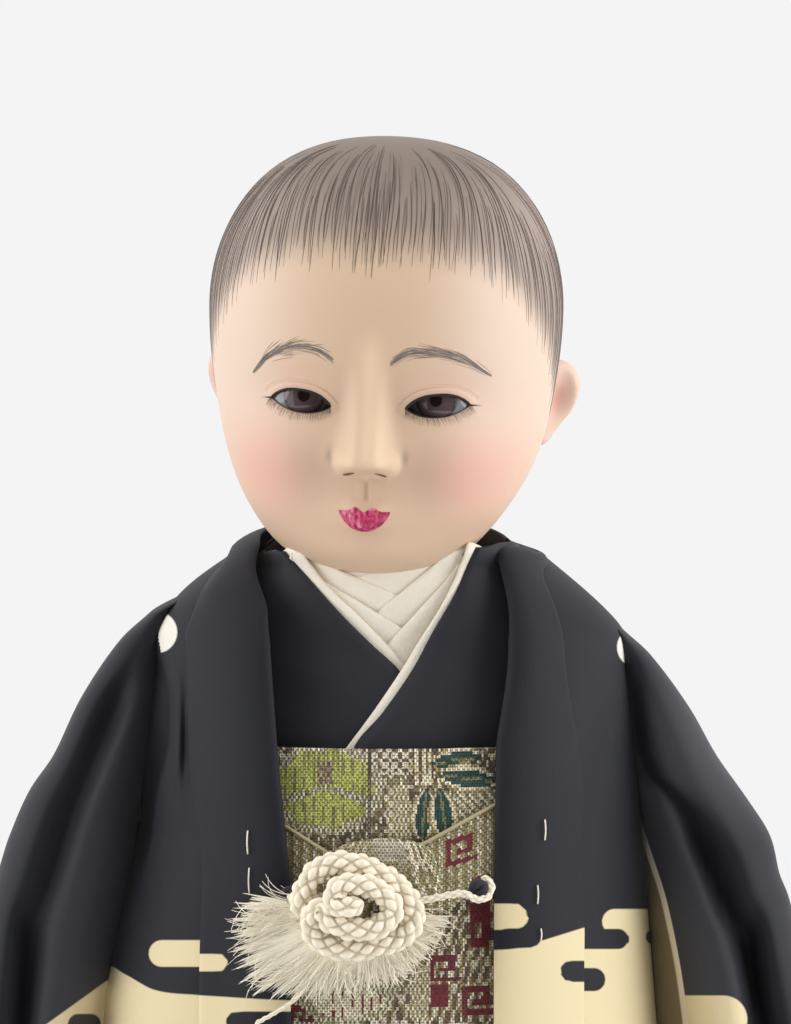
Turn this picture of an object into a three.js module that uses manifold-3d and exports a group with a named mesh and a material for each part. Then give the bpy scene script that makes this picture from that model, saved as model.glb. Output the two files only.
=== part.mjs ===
// Ichimatsu boy doll in formal dress, in millimetres. +Z is up, the doll faces -Y and its own left is +X.
// The origin lies on the floor, under the middle of the doll.
// The head plugs into the shoulder plate and turns there; stuffed cloth arms and legs swing inside the clothes.
import * as THREE from "three";
import { mergeVertices } from "three/addons/utils/BufferGeometryUtils.js";
import Module from "manifold-3d";

const wasm = await Module();
wasm.setup();

// Heights that the neck and head stand on
const shoulderHeight = 304;
const neckRise = 19;
const neckRimHeight = shoulderHeight + neckRise;
const headRise = 37;

// Head
const headCentreHeight = neckRimHeight + headRise;
const headCentreForward = 4;
const headCentreSide = -1;
const headHalfWidth = 36.6;
const templeHeight = 10;
const crownHeight = 45;
const chinDrop = 42.5;
const faceDepth = 36.5;
const backOfHeadDepth = 40;
const jawSlope = 0.56;
const jawReach = 18;
const headPitch = THREE.MathUtils.degToRad(8);
const headYaw = THREE.MathUtils.degToRad(-5.6);
const headRoll = THREE.MathUtils.degToRad(2);
const neckRadius = 10;
const neckLength = 38;
const neckPegRadius = 4.5;
const neckPegLength = 24;

// Face, measured from the middle of the head
const eyeSpacing = 27.3;
const eyeHeight = -4.4;
const eyeRadius = 8;
const eyeOpeningWidth = 12.6;
const upperLidRise = 2.4;
const lowerLidDrop = 2.6;
const lidThickness = 1;
const noseTipHeight = -14.3;
const noseLength = 19;
const noseProjection = 5.6;
const noseHalfWidth = 4.4;
const mouthHeight = -28;
const mouthHalfWidth = 5;
const chinHeight = -37;
const cheekHeight = -18;
const cheekOffset = 20;
const earHeight = 18;
const earReach = 6.4;
const earThickness = 4.2;
const earBack = 8;
const earDrop = 11;
const earTurn = { left: 38, right: 66 };

// Dressed body, from the floor
const chestHeight = 270;
const neckRimHalfWidth = 26;
const shoulderHalfWidth = 47.5;
const chestHalfWidth = 52;
const skirtHalfWidth = 62;
const hemHalfWidth = 69;
const neckRimHalfDepth = 27;
const shoulderHalfDepth = 32.5;
const chestHalfDepth = 39.5;
const skirtHalfDepth = 46;
const hemHalfDepth = 55;

// Cloth and its layers
const cloth = 0.8;
const lightCloth = 0.5;
const layerGap = 0.4;
const fit = 0.4;

// Haori
const haoriNeckDrop = 3.5;
const haoriNeckHeight = neckRimHeight - haoriNeckDrop;
const haoriHem = 118;
const haoriOpening = 23;
const haoriBandWidth = 17;
const haoriFold = 1.6;
const sideSeamGap = THREE.MathUtils.degToRad(2);

// Hakama
const hakamaTop = 279;
const hakamaHem = 22;
const hakamaPleat = 2.2;
const hakamaPleats = 5;
const hakamaTieWidth = 9;
const tieCrossDrop = 24;
const tieSideDrop = 9;
const backBoardHeight = 20;
const backBoardWidth = 34;

// Collars and kimono
const collarWidth = 9;
const innerCollarSide = 18;
const innerCollarDrop = 4.5;
const innerCollarCross = -3;
const innerCollarCrossDrop = 10.5;
const middleCollarSide = 17;
const middleCollarDrop = 5.4;
const middleCollarCross = -1;
const middleCollarCrossDrop = 15;
const outerCollarSide = 17.5;
const outerCollarDrop = 6;
const outerCollarCross = 1;
const outerCollarCrossDrop = 20;
const collarEndReach = 8;
const collarEndDrop = 8;
const backOfNeckRise = 1.5;
const kimonoSide = 19.5;
const kimonoDrop = 6.5;
const kimonoCross = 2.5;
const kimonoCrossDrop = 28;
const kimonoTuckX = 9;
const edgingShows = 1.9;
const edgingRise = 0.5;
const kimonoTuck = 205;

// Arms and sleeves
const armholeDrop = 20;
const armholeHeight = shoulderHeight - armholeDrop;
const armholeRoom = 1;
const armRadius = 5.6;
const stubRadius = 4.4;
const armStandOff = 5.35;
const armLength = 112;
const wristRadius = 4.3;
const palmLength = 13;
const palmWidth = 11;
const palmThickness = 6;
const fingerRadius = 1.35;
const fingerLength = 10;
const sleeveSet = 2;
const sleeveTop = shoulderHeight - sleeveSet;
const sleeveDrop = 116;
const sleeveSlant = 19;
const sleeveHalfDepth = 24;
const sleeveFlare = 31.5;
const sleeveStandOff = 1.3;
const sleeveFold = 1.5;

// Torso and legs
const torsoHalfWidth = 36;
const torsoHalfDepth = 23;
const torsoBottom = 241;
const pelvisTop = 191;
const pelvisBottom = 158;
const hipSpacing = 33;
const hipHeight = 164;
const thighRadius = 13.5;
const hipSwingRoom = 2;
const kneeHeight = 92;
const kneeRadius = 10;
const ankleRadius = 6.6;
const footLength = 48;
const footWidth = 20;
const tabiTop = 36;
const tabiWall = 0.9;

// Haori cord
const cordDiameter = 4.6;
const rosetteTurns = 2;
const rosetteHeight = 246;
const rosetteOffset = -6;
const cordLoopHeight = 250;
const cordLoopRadius = 2.6;
const cordLoopThickness = 1.2;
const tasselReach = 27;
const tasselThickness = 3.6;

// Materials
const paint = (color, roughness, metalness = 0) =>
  new THREE.MeshStandardMaterial({ color, roughness, metalness });
const gofun = paint(0xecd2bd, 0.55);
const glass = paint(0x3a2f33, 0.08);
const wood = paint(0xb58a5a, 0.7);
const composition = paint(0xd9c3a8, 0.75);
const muslin = paint(0xe6dcc6, 0.9);
const blackSilk = paint(0x1b1b21, 0.6);
const creamSilk = paint(0xe9e0c8, 0.6);
const brocade = paint(0x80765a, 0.45, 0.2);
const whiteCotton = paint(0xf0ede6, 0.85);
const whiteCord = paint(0xf3ecdc, 0.55);

// General helpers

const { degToRad, lerp, smoothstep } = THREE.MathUtils;
const bell = (x, width) => Math.exp(-((x / width) ** 2));
const side = { left: 1, right: -1 };

// The same shape on the doll's other side.
function onSide(direction, geometry) {
  if (direction > 0) return geometry;
  const turned = mergeVertices(geometry.clone().scale(-1, 1, 1));
  const index = turned.index.array;
  for (let i = 0; i < index.length; i += 3) [index[i], index[i + 1]] = [index[i + 1], index[i]];
  turned.computeVertexNormals();
  return turned;
}

// Smooth curve through stations sorted by their first value: a cubic Hermite spline with chord tangents.
function through(stations) {
  const slope = stations.map((s, i) => {
    const before = stations[Math.max(i - 1, 0)];
    const after = stations[Math.min(i + 1, stations.length - 1)];
    return (after[1] - before[1]) / (after[0] - before[0]);
  });
  return (x) => {
    let i = 0;
    while (i < stations.length - 2 && x > stations[i + 1][0]) i++;
    const [x0, y0] = stations[i];
    const [x1, y1] = stations[i + 1];
    const span = x1 - x0;
    const t = THREE.MathUtils.clamp((x - x0) / span, 0, 1);
    const rise = t * t * (3 - 2 * t);
    const start = t * (1 - t) ** 2;
    const end = t * t * (t - 1);
    return lerp(y0, y1, rise) + span * (slope[i] * start + slope[i + 1] * end);
  };
}

// An indexed geometry whose faces point out, whichever way round its triangles were listed.
function closedGeometry(points, triangles) {
  let volume = 0;
  for (const [a, b, c] of triangles)
    volume += points[a].dot(new THREE.Vector3().crossVectors(points[b], points[c]));
  const facing = volume < 0 ? triangles.map(([a, b, c]) => [a, c, b]) : triangles;
  const geometry = new THREE.BufferGeometry().setFromPoints(points);
  geometry.setIndex(facing.flat());
  geometry.computeVertexNormals();
  return geometry;
}

// A skin through closed rings of points, capped at both ends.
function loft(rings) {
  const n = rings[0].length;
  const points = rings.flat();
  const triangles = [];
  for (let r = 0; r < rings.length - 1; r++)
    for (let i = 0; i < n; i++) {
      const a = r * n + i;
      const b = r * n + ((i + 1) % n);
      triangles.push([a, b, a + n], [b, b + n, a + n]);
    }
  const cap = (ring, start, turned) => {
    const middle = points.length;
    points.push(ring.reduce((sum, p) => sum.add(p), new THREE.Vector3()).divideScalar(n));
    for (let i = 0; i < n; i++) {
      const pair = [start + i, start + ((i + 1) % n)];
      triangles.push(turned ? [middle, ...pair.reverse()] : [middle, ...pair]);
    }
  };
  cap(rings[0], 0, true);
  cap(rings[rings.length - 1], (rings.length - 1) * n, false);
  return closedGeometry(points, triangles);
}

// A sheet of cloth: an outer and an inner grid of points, joined along the four edges.
function sheet(uSteps, vSteps, outerAt, innerAt) {
  const points = [];
  const index = (layer, i, j) => (layer * (uSteps + 1) + i) * (vSteps + 1) + j;
  for (const at of [outerAt, innerAt])
    for (let i = 0; i <= uSteps; i++)
      for (let j = 0; j <= vSteps; j++) points.push(at(i / uSteps, j / vSteps));
  const triangles = [];
  const quad = (a, b, c, d) => triangles.push([a, b, c], [a, c, d]);
  for (let i = 0; i < uSteps; i++)
    for (let j = 0; j < vSteps; j++) {
      quad(index(0, i, j), index(0, i + 1, j), index(0, i + 1, j + 1), index(0, i, j + 1));
      quad(index(1, i, j), index(1, i, j + 1), index(1, i + 1, j + 1), index(1, i + 1, j));
    }
  for (let i = 0; i < uSteps; i++) {
    quad(index(0, i, 0), index(1, i, 0), index(1, i + 1, 0), index(0, i + 1, 0));
    quad(index(0, i, vSteps), index(0, i + 1, vSteps), index(1, i + 1, vSteps), index(1, i, vSteps));
  }
  for (let j = 0; j < vSteps; j++) {
    quad(index(0, 0, j), index(0, 0, j + 1), index(1, 0, j + 1), index(1, 0, j));
    quad(index(0, uSteps, j), index(1, uSteps, j), index(1, uSteps, j + 1), index(0, uSteps, j + 1));
  }
  return closedGeometry(points, triangles);
}

// Booleans: a geometry as a solid, and a solid as a geometry again.
function solid(geometry) {
  const bare = geometry.clone();
  bare.deleteAttribute("normal");
  bare.deleteAttribute("uv");
  const merged = mergeVertices(bare, 1e-4);
  return new wasm.Manifold(
    new wasm.Mesh({
      numProp: 3,
      vertProperties: new Float32Array(merged.attributes.position.array),
      triVerts: new Uint32Array(merged.index.array),
    }),
  );
}

function geometryOf(made) {
  const mesh = made.getMesh();
  const geometry = new THREE.BufferGeometry();
  geometry.setAttribute("position", new THREE.BufferAttribute(mesh.vertProperties, 3));
  geometry.setIndex(new THREE.BufferAttribute(mesh.triVerts, 1));
  geometry.computeVertexNormals();
  return geometry;
}

const cut = (geometry, ...tools) =>
  geometryOf(tools.reduce((made, tool) => made.subtract(solid(tool)), solid(geometry)));
const join = (...geometries) =>
  geometryOf(geometries.map(solid).reduce((made, other) => made.add(other)));

const lathe = (profile, segments) =>
  new THREE.LatheGeometry(
    profile.map(([radius, z]) => new THREE.Vector2(radius, z)),
    segments,
  ).rotateX(Math.PI / 2);

// A bar of round section along a curve, with its radius given along the way.
function roundBar(curve, steps, sides, radiusAt, from = 0, to = 1) {
  const rings = [];
  for (let i = 0; i <= steps; i++) {
    const t = lerp(from, to, i / steps);
    const centre = curve.getPoint(t);
    const tangent = curve.getTangent(t);
    const across = new THREE.Vector3(0, 1, 0).cross(tangent).normalize();
    const up = tangent.clone().cross(across).normalize();
    const ring = [];
    for (let k = 0; k < sides; k++) {
      const angle = (k / sides) * 2 * Math.PI;
      ring.push(
        centre
          .clone()
          .addScaledVector(across, radiusAt(t) * Math.cos(angle))
          .addScaledVector(up, radiusAt(t) * Math.sin(angle)),
      );
    }
    rings.push(ring);
  }
  return loft(rings);
}

// Dressed body: every garment lies on this outline, set in by the layers over it.

const skirtHeight = haoriHem + 2;
const halfWidthAt = through([
  [0, hemHalfWidth],
  [skirtHeight, skirtHalfWidth],
  [chestHeight - 70, lerp(skirtHalfWidth, chestHalfWidth, 0.45)],
  [chestHeight, chestHalfWidth],
  [shoulderHeight - 9, lerp(chestHalfWidth, shoulderHalfWidth, 0.4)],
  [shoulderHeight, shoulderHalfWidth],
  [neckRimHeight, neckRimHalfWidth],
]);
const halfDepthAt = through([
  [0, hemHalfDepth],
  [skirtHeight, skirtHalfDepth],
  [chestHeight, chestHalfDepth],
  [shoulderHeight, shoulderHalfDepth],
  [neckRimHeight, neckRimHalfDepth],
]);

// Angle 0 is the front and grows towards the doll's left.
function onBody(angle, z, inset) {
  return new THREE.Vector3(
    (halfWidthAt(z) - inset) * Math.sin(angle),
    -(halfDepthAt(z) - inset) * Math.cos(angle),
    z,
  );
}
const angleAt = (x, z, inset) =>
  Math.asin(THREE.MathUtils.clamp(x / (halfWidthAt(z) - inset), -1, 1));

// How far each layer's outer face lies inside the haori's, from the outside in.
const insetOf = {};
insetOf.haori = 0;
insetOf.haoriBand = -2 * layerGap - cloth;
insetOf.backBoard = cloth + 2 * layerGap;
insetOf.tieOver = cloth + layerGap;
insetOf.tieUnder = insetOf.tieOver + lightCloth + layerGap;
insetOf.hakama = insetOf.tieUnder + lightCloth + layerGap;
insetOf.kimonoOver = insetOf.hakama + hakamaPleat + cloth + 2 * layerGap;
insetOf.dateOver = insetOf.kimonoOver + cloth + 2 * layerGap;
insetOf.kimonoUnder = insetOf.dateOver + lightCloth + layerGap;
insetOf.dateUnder = insetOf.kimonoUnder + cloth + 2 * layerGap;
insetOf.collars = insetOf.dateUnder + lightCloth + layerGap;
const collarPitch = lightCloth + layerGap;

// Cloth on the body: place(u, v) gives its angle, height and inset.
function bodySheet(uSteps, vSteps, thickness, place) {
  const face = (extra) => (u, v) => {
    const { angle, z, inset } = place(u, v);
    return onBody(angle, z, inset + extra);
  };
  return sheet(uSteps, vSteps, face(0), face(thickness));
}

// Head

const headGroup = new THREE.Group();
headGroup.position.set(headCentreSide, -headCentreForward, headCentreHeight);
headGroup.rotation.set(headPitch, headRoll, headYaw, "ZXY");

// Features of the face, as a height in front of the plain head at (x, z).
function faceRelief(x, z) {
  const across = Math.abs(x);
  const eyeAcross = across - eyeSpacing / 2;
  const noseTop = noseTipHeight + noseLength;
  const noseBase = noseTipHeight - 4.6;
  const alongNose = THREE.MathUtils.clamp((noseTop - z) / noseLength, 0, 1);
  const noseEnd = smoothstep(z, noseBase, noseTipHeight - 0.6);
  const noseWidth = noseHalfWidth * lerp(0.75, 1, alongNose);
  const nose = noseProjection * (0.12 + 0.88 * alongNose ** 1.4) * bell(x, noseWidth) * noseEnd;
  const wing = 2.3 * bell(across - noseHalfWidth, 2) * bell(z - noseTipHeight + 1.2, 2.2);
  const socket = -2.4 * bell(eyeAcross, 9.5) * bell(z - eyeHeight, 5);
  const lids = 2.0 * bell(eyeAcross, 6.8) * bell(z - eyeHeight + 0.4, 4);
  const mouth = 2.0 * bell(x, 10) * bell(z - mouthHeight, 6.5);
  const upperLip = 0.8 * bell(x, mouthHalfWidth * 0.8) * bell(z - mouthHeight - 1.6, 1.1);
  const lowerLip = 1.1 * bell(x, mouthHalfWidth * 0.7) * bell(z - mouthHeight + 1.3, 1.3);
  const lipLine = -0.7 * bell(x, mouthHalfWidth) * bell(z - mouthHeight - 0.4, 0.6);
  const chin = 2.2 * bell(x, 9) * bell(z - chinHeight, 4.5);
  const cheek = 2.4 * bell(across - cheekOffset, 11) * bell(z - cheekHeight, 11);
  return nose + wing + socket + lids + mouth + upperLip + lowerLip + lipLine + chin + cheek;
}

// The head's skin: angle 0 is the front, polar 0 the crown and polar PI the underside.
function headSkin(angle, polar) {
  const up = Math.cos(polar);
  const ring = Math.sin(polar);
  const lower = smoothstep(-up, 0.15, 0.75);
  const forward = Math.cos(angle);
  const widthPower = lerp(0.8, 0.48, lower);
  const depthPower = forward > 0 ? lerp(0.95, 0.28, lower) : lerp(0.85, 1.15, lower);
  const depth = forward > 0 ? faceDepth : backOfHeadDepth;
  const point = new THREE.Vector3(
    headHalfWidth * ring ** widthPower * Math.sin(angle),
    -depth * ring ** depthPower * forward,
    templeHeight + up * (up > 0 ? crownHeight - templeHeight : chinDrop + templeHeight),
  );
  const front = smoothstep(forward, 0.1, 0.55) * smoothstep(ring, 0.25, 0.6);
  point.y -= front * faceRelief(point.x, point.z);
  const behindJaw = THREE.MathUtils.clamp(point.y + jawReach, 0, 1.7 * jawReach);
  point.z += jawSlope * smoothstep(-up, 0.4, 1) * behindJaw;
  return point;
}

// The point of the face at (x, z), found by stepping towards it.
function facePoint(x, z) {
  let angle = Math.asin(THREE.MathUtils.clamp(x / headHalfWidth, -1, 1));
  let polar = Math.PI / 2 + Math.asin((templeHeight - z) / (chinDrop + templeHeight));
  for (let i = 0; i < 12; i++) {
    const now = headSkin(angle, polar);
    angle += (x - now.x) / headHalfWidth;
    polar -= (z - now.z) / (chinDrop + templeHeight);
  }
  return headSkin(angle, polar);
}

function headGeometry() {
  const around = 32;
  const down = 25;
  const rings = [];
  for (let j = 1; j < down; j++) {
    const polar = Math.PI * (j / down);
    const ring = [];
    for (let i = 0; i < around; i++) {
      const turn = (i / around) * 2 * Math.PI;
      ring.push(headSkin(turn - 0.45 * Math.sin(turn), polar));
    }
    rings.push(ring);
  }
  return loft(rings);
}

function earGeometry(name) {
  const direction = side[name];
  const rings = [];
  const steps = 6;
  for (let j = 0; j <= steps; j++) {
    const along = lerp(-0.94, 0.94, j / steps);
    const size = Math.sqrt(1 - along * along) * lerp(0.75, 1, (along + 1) / 2);
    const ring = [];
    for (let i = 0; i < 10; i++) {
      const turn = (i / 10) * 2 * Math.PI;
      ring.push(
        new THREE.Vector3(
          direction * size * earReach * Math.cos(turn),
          size * earThickness * Math.sin(turn),
          (earHeight / 2) * along,
        ),
      );
    }
    rings.push(ring);
  }
  const tilt = new THREE.Matrix4().makeRotationFromEuler(
    new THREE.Euler(degToRad(-8), degToRad(direction * 10), degToRad(direction * earTurn[name])),
  );
  return loft(rings)
    .applyMatrix4(tilt)
    .translate(direction * (headHalfWidth - 3), earBack, -earDrop);
}

// An almond outline for the eye opening, drawn through the head from the front.
function eyeOpening(direction) {
  const half = eyeOpeningWidth / 2;
  const outline = new THREE.Shape();
  outline.moveTo(-half, 0);
  outline.bezierCurveTo(-half * 0.5, upperLidRise * 1.4, half * 0.45, upperLidRise * 1.25, half, 0);
  outline.bezierCurveTo(half * 0.5, -lowerLidDrop * 1.3, -half * 0.5, -lowerLidDrop * 1.4, -half, 0);
  const depth = eyeRadius * 2;
  return new THREE.ExtrudeGeometry(outline, { depth, bevelEnabled: false, curveSegments: 5 })
    .rotateX(Math.PI / 2)
    .translate((direction * eyeSpacing) / 2, -faceDepth + eyeRadius, eyeHeight);
}

function eyeCentre(direction) {
  const lid = facePoint((direction * eyeSpacing) / 2, eyeHeight);
  return lid.add(new THREE.Vector3(0, eyeRadius + lidThickness, 0));
}

const ball = (radius, across, down, centre) =>
  new THREE.SphereGeometry(radius, across, down)
    .rotateX(Math.PI / 2)
    .translate(centre.x, centre.y, centre.z);

// The neck stands straight in the shoulder plate, whichever way the head leans.
const plateTop = shoulderHeight + 1;
const neckBottom = headCentreHeight - chinDrop - neckLength / 2 + 1;
const neckTop = neckBottom + neckLength;

function addHead(root) {
  headGroup.updateMatrix();
  const neck = lathe(
    [
      [0, neckBottom],
      [neckRadius - 1, neckBottom],
      [neckRadius, neckBottom + 2],
      [neckRadius, neckTop - 16],
      [neckRadius + 2, neckTop - 8],
      [neckRadius + 7, neckTop],
      [0, neckTop],
    ],
    24,
  );
  const leaning = (geometry) => geometry.applyMatrix4(headGroup.matrix);
  const pegHole = new THREE.CylinderGeometry(neckPegRadius + fit, neckPegRadius + fit, neckPegLength, 16)
    .rotateX(Math.PI / 2)
    .translate(0, 0, neckBottom);
  const sockets = [1, -1].flatMap((direction) => [
    leaning(eyeOpening(direction)),
    leaning(ball(eyeRadius + fit, 14, 10, eyeCentre(direction))),
  ]);
  const ears = Object.keys(side).map((name) => leaning(earGeometry(name)));
  const shell = cut(join(leaning(headGeometry()), neck, ...ears), ...sockets, pegHole);
  root.add(piece("head", shell, gofun));
  for (const [name, direction] of Object.entries(side))
    root.add(piece(`${name}_eye`, leaning(ball(eyeRadius, 14, 10, eyeCentre(direction))), glass));
  const peg = new THREE.CylinderGeometry(neckPegRadius, neckPegRadius, neckPegLength, 16)
    .rotateX(Math.PI / 2)
    .translate(0, 0, neckBottom - fit);
  root.add(piece("neck_peg", peg, wood));
}

function piece(name, geometry, material) {
  const mesh = new THREE.Mesh(geometry, material);
  mesh.name = name;
  return mesh;
}

// Torso: shoulder plate, stuffed midriff and pelvis

function ovalRing(z, halfWidth, halfDepth, sides = 18) {
  return Array.from({ length: sides }, (_, i) => {
    const turn = (i / sides) * 2 * Math.PI;
    return new THREE.Vector3(halfWidth * Math.sin(turn), -halfDepth * Math.cos(turn), z);
  });
}

function addTorso(root) {
  const plate = loft([
    ovalRing(torsoBottom, torsoHalfWidth - 2, torsoHalfDepth - 1),
    ovalRing(torsoBottom + 20, torsoHalfWidth, torsoHalfDepth),
    ovalRing(armholeHeight, torsoHalfWidth, torsoHalfDepth - 2),
    ovalRing(plateTop - 8, torsoHalfWidth - 6, torsoHalfDepth - 5),
    ovalRing(plateTop - 3, neckRadius + 8, neckRadius + 5),
    ovalRing(plateTop, neckRadius + 3.5, neckRadius + 3.5),
  ]);
  const seatDepth = plateTop - neckBottom + fit;
  const neckSocket = new THREE.CylinderGeometry(neckRadius + fit, neckRadius + fit, 2 * seatDepth, 24)
    .rotateX(Math.PI / 2)
    .translate(0, 0, plateTop);
  const pegSocket = new THREE.CylinderGeometry(
    neckPegRadius + fit,
    neckPegRadius + fit,
    2 * neckPegLength,
    16,
  )
    .rotateX(Math.PI / 2)
    .translate(0, 0, neckBottom + neckPegLength / 2 - fit * 2);
  root.add(piece("shoulder_plate", cut(plate, neckSocket, pegSocket), composition));

  const midriffTop = torsoBottom - layerGap;
  const midriffBottom = pelvisTop + layerGap;
  const bulge = (midriffTop + midriffBottom) / 2;
  root.add(
    piece(
      "midriff",
      loft([
        ovalRing(midriffBottom, torsoHalfWidth - 3, torsoHalfDepth - 2),
        ovalRing(bulge, torsoHalfWidth - 1, torsoHalfDepth),
        ovalRing(midriffTop, torsoHalfWidth - 3, torsoHalfDepth - 2),
      ]),
      muslin,
    ),
  );

  const pelvis = loft([
    ovalRing(pelvisBottom, torsoHalfWidth - 5, torsoHalfDepth - 4),
    ovalRing((pelvisBottom + pelvisTop) / 2, torsoHalfWidth, torsoHalfDepth),
    ovalRing(pelvisTop, torsoHalfWidth - 2, torsoHalfDepth - 1),
  ]);
  const socketRadius = thighRadius + 2 * fit;
  const dome = [0, 1, 2, 3, 4].map((i) => {
    const turn = (i / 5) * (Math.PI / 2);
    return [socketRadius * Math.cos(turn), hipHeight + socketRadius * Math.sin(turn)];
  });
  const socket = lathe(
    [
      [0, pelvisBottom - 1],
      [socketRadius + hipSwingRoom, pelvisBottom - 1],
      ...dome,
      [0, hipHeight + socketRadius],
    ],
    14,
  ).translate(hipSpacing / 2, 0, 0);
  const hipSockets = [1, -1].map((direction) => onSide(direction, socket));
  root.add(piece("pelvis", cut(pelvis, ...hipSockets), composition));
}

// Collars: bands that go round the neck and cross in front, the doll's left over its right

// Each collar's upper edge: height at the neck's side and where the two ends cross in front.
const collars = [
  {
    name: "juban_collar_inner",
    sideX: innerCollarSide,
    sideZ: neckRimHeight - innerCollarDrop,
    crossX: innerCollarCross,
    crossZ: neckRimHeight - innerCollarCrossDrop,
  },
  {
    name: "juban_collar_middle",
    sideX: middleCollarSide,
    sideZ: neckRimHeight - middleCollarDrop,
    crossX: middleCollarCross,
    crossZ: neckRimHeight - middleCollarCrossDrop,
  },
  {
    name: "juban_collar_outer",
    sideX: outerCollarSide,
    sideZ: neckRimHeight - outerCollarDrop,
    crossX: outerCollarCross,
    crossZ: neckRimHeight - outerCollarCrossDrop,
  },
];

// A band's upper edge unwrapped as (angle, height, inset), from its hidden end under the other to its showing end.
function collarPath({ sideX, sideZ, crossX, crossZ }, over, under) {
  const slope = (sideZ - crossZ) / (sideX + crossX);
  const at = (x, z, inset, turn) =>
    new THREE.Vector3(angleAt(x, z, inset) + turn, z, inset);
  return new THREE.CatmullRomCurve3([
    at(crossX + collarEndReach, crossZ - slope * collarEndReach * 0.9, under, 0),
    at(crossX, crossZ, under, 0),
    at((crossX - sideX) / 2, (crossZ + sideZ) / 2, under, 0),
    at(-sideX, sideZ, under, 0),
    new THREE.Vector3(-Math.PI, sideZ + backOfNeckRise, (over + under) / 2),
    at(sideX, sideZ, over, -2 * Math.PI),
    at((crossX + sideX) / 2, (crossZ + sideZ) / 2, over, -2 * Math.PI),
    at(crossX, crossZ, over, -2 * Math.PI),
    at(crossX - collarEndReach, crossZ - collarEndDrop, over, -2 * Math.PI),
  ]);
}

function collarBand(path, width) {
  return bodySheet(30, 2, lightCloth, (u, v) => {
    const edge = path.getPoint(u);
    return { angle: edge.x, z: edge.y - v * width, inset: edge.z };
  });
}

function addCollars(root) {
  collars.forEach((collar, k) => {
    const depth = collars.length - 1 - k;
    const over = insetOf.collars + 2 * depth * collarPitch;
    const path = collarPath(collar, over, over + collarPitch);
    root.add(piece(collar.name, collarBand(path, collarWidth), creamSilk));
  });
  const path = collarPath(dateCollar, insetOf.dateOver, insetOf.dateUnder);
  root.add(piece("date_collar", collarBand(path, collarWidth), creamSilk));
}

// Kimono: a back and two fronts, whose edges follow the outermost collar

const kimonoEdge = {
  sideX: kimonoSide,
  sideZ: neckRimHeight - kimonoDrop,
  crossX: kimonoCross,
  crossZ: neckRimHeight - kimonoCrossDrop,
  tuckX: kimonoTuckX,
  tuckZ: hakamaTop - 1,
};
const dateCollar = {
  sideX: kimonoEdge.sideX - edgingShows,
  sideZ: kimonoEdge.sideZ + edgingRise,
  crossX: kimonoEdge.crossX,
  crossZ: kimonoEdge.crossZ + edgingShows,
};

// The front edge of a kimono front at height z: the over front crosses to the doll's right.
const overEdgeX = through([
  [kimonoTuck, -2 * kimonoEdge.tuckX],
  [kimonoEdge.tuckZ, -kimonoEdge.tuckX],
  [kimonoEdge.crossZ, kimonoEdge.crossX],
  [kimonoEdge.sideZ, kimonoEdge.sideX],
]);
const underEdgeX = through([
  [kimonoTuck, 2 * kimonoEdge.tuckX],
  [kimonoEdge.tuckZ, kimonoEdge.tuckX],
  [kimonoEdge.crossZ, kimonoEdge.crossX],
  [kimonoEdge.sideZ, -kimonoEdge.sideX],
]);

function kimonoFront(direction, edgeX, inset) {
  const seam = degToRad(88);
  return bodySheet(10, 9, cloth, (u, v) => {
    const z = lerp(kimonoEdge.sideZ, kimonoTuck, v ** 1.5);
    const edge = angleAt(edgeX(z), z, inset);
    return { angle: lerp(edge, direction * seam, u), z, inset };
  });
}

function addKimono(root) {
  const holes = [1, -1].map(armTunnel);
  const over = cut(kimonoFront(1, overEdgeX, insetOf.kimonoOver), ...holes);
  const under = cut(kimonoFront(-1, underEdgeX, insetOf.kimonoUnder), ...holes);
  root.add(piece("kimono_left_front", over, blackSilk));
  root.add(piece("kimono_right_front", under, blackSilk));
  const seam = degToRad(92);
  const back = bodySheet(14, 7, cloth, (u, v) => ({
    angle: lerp(seam, 2 * Math.PI - seam, u),
    z: lerp(kimonoEdge.sideZ + 2, kimonoTuck, v ** 1.5),
    inset: insetOf.kimonoOver,
  }));
  root.add(piece("kimono_back", cut(back, ...holes), blackSilk));
}

// Hakama: pleated front and back, crossing waist ties, their knot and the stiff board behind

// Knife pleats: each rises slowly across its width and drops back at its edge.
function pleat(share, count) {
  const t = share * count - Math.floor(share * count);
  return t < 2 / 3 ? t * 1.5 : (1 - t) * 3;
}

function hakamaHalf(from, to, count, mirrored) {
  return bodySheet(count * 3, 5, cloth, (u, v) => {
    const z = lerp(hakamaTop, hakamaHem, v);
    const share = mirrored ? Math.abs(2 * u - 1) : u;
    const depth = hakamaPleat * (1 - pleat(share, mirrored ? count / 2 : count));
    return { angle: lerp(from, to, u), z, inset: insetOf.hakama + depth };
  });
}

function tie(direction, inset) {
  const centreZ = hakamaTop - tieCrossDrop;
  const sideZ = hakamaTop - tieSideDrop;
  const path = through([
    [-0.12, centreZ - 1.5],
    [0.1, centreZ + 2],
    [0.45, sideZ],
    [1, sideZ + 2],
  ]);
  return bodySheet(14, 1, lightCloth, (u, v) => {
    const share = lerp(-0.12, 1, u);
    return { angle: direction * share * degToRad(86), z: path(share) - v * hakamaTieWidth, inset };
  });
}

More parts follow.
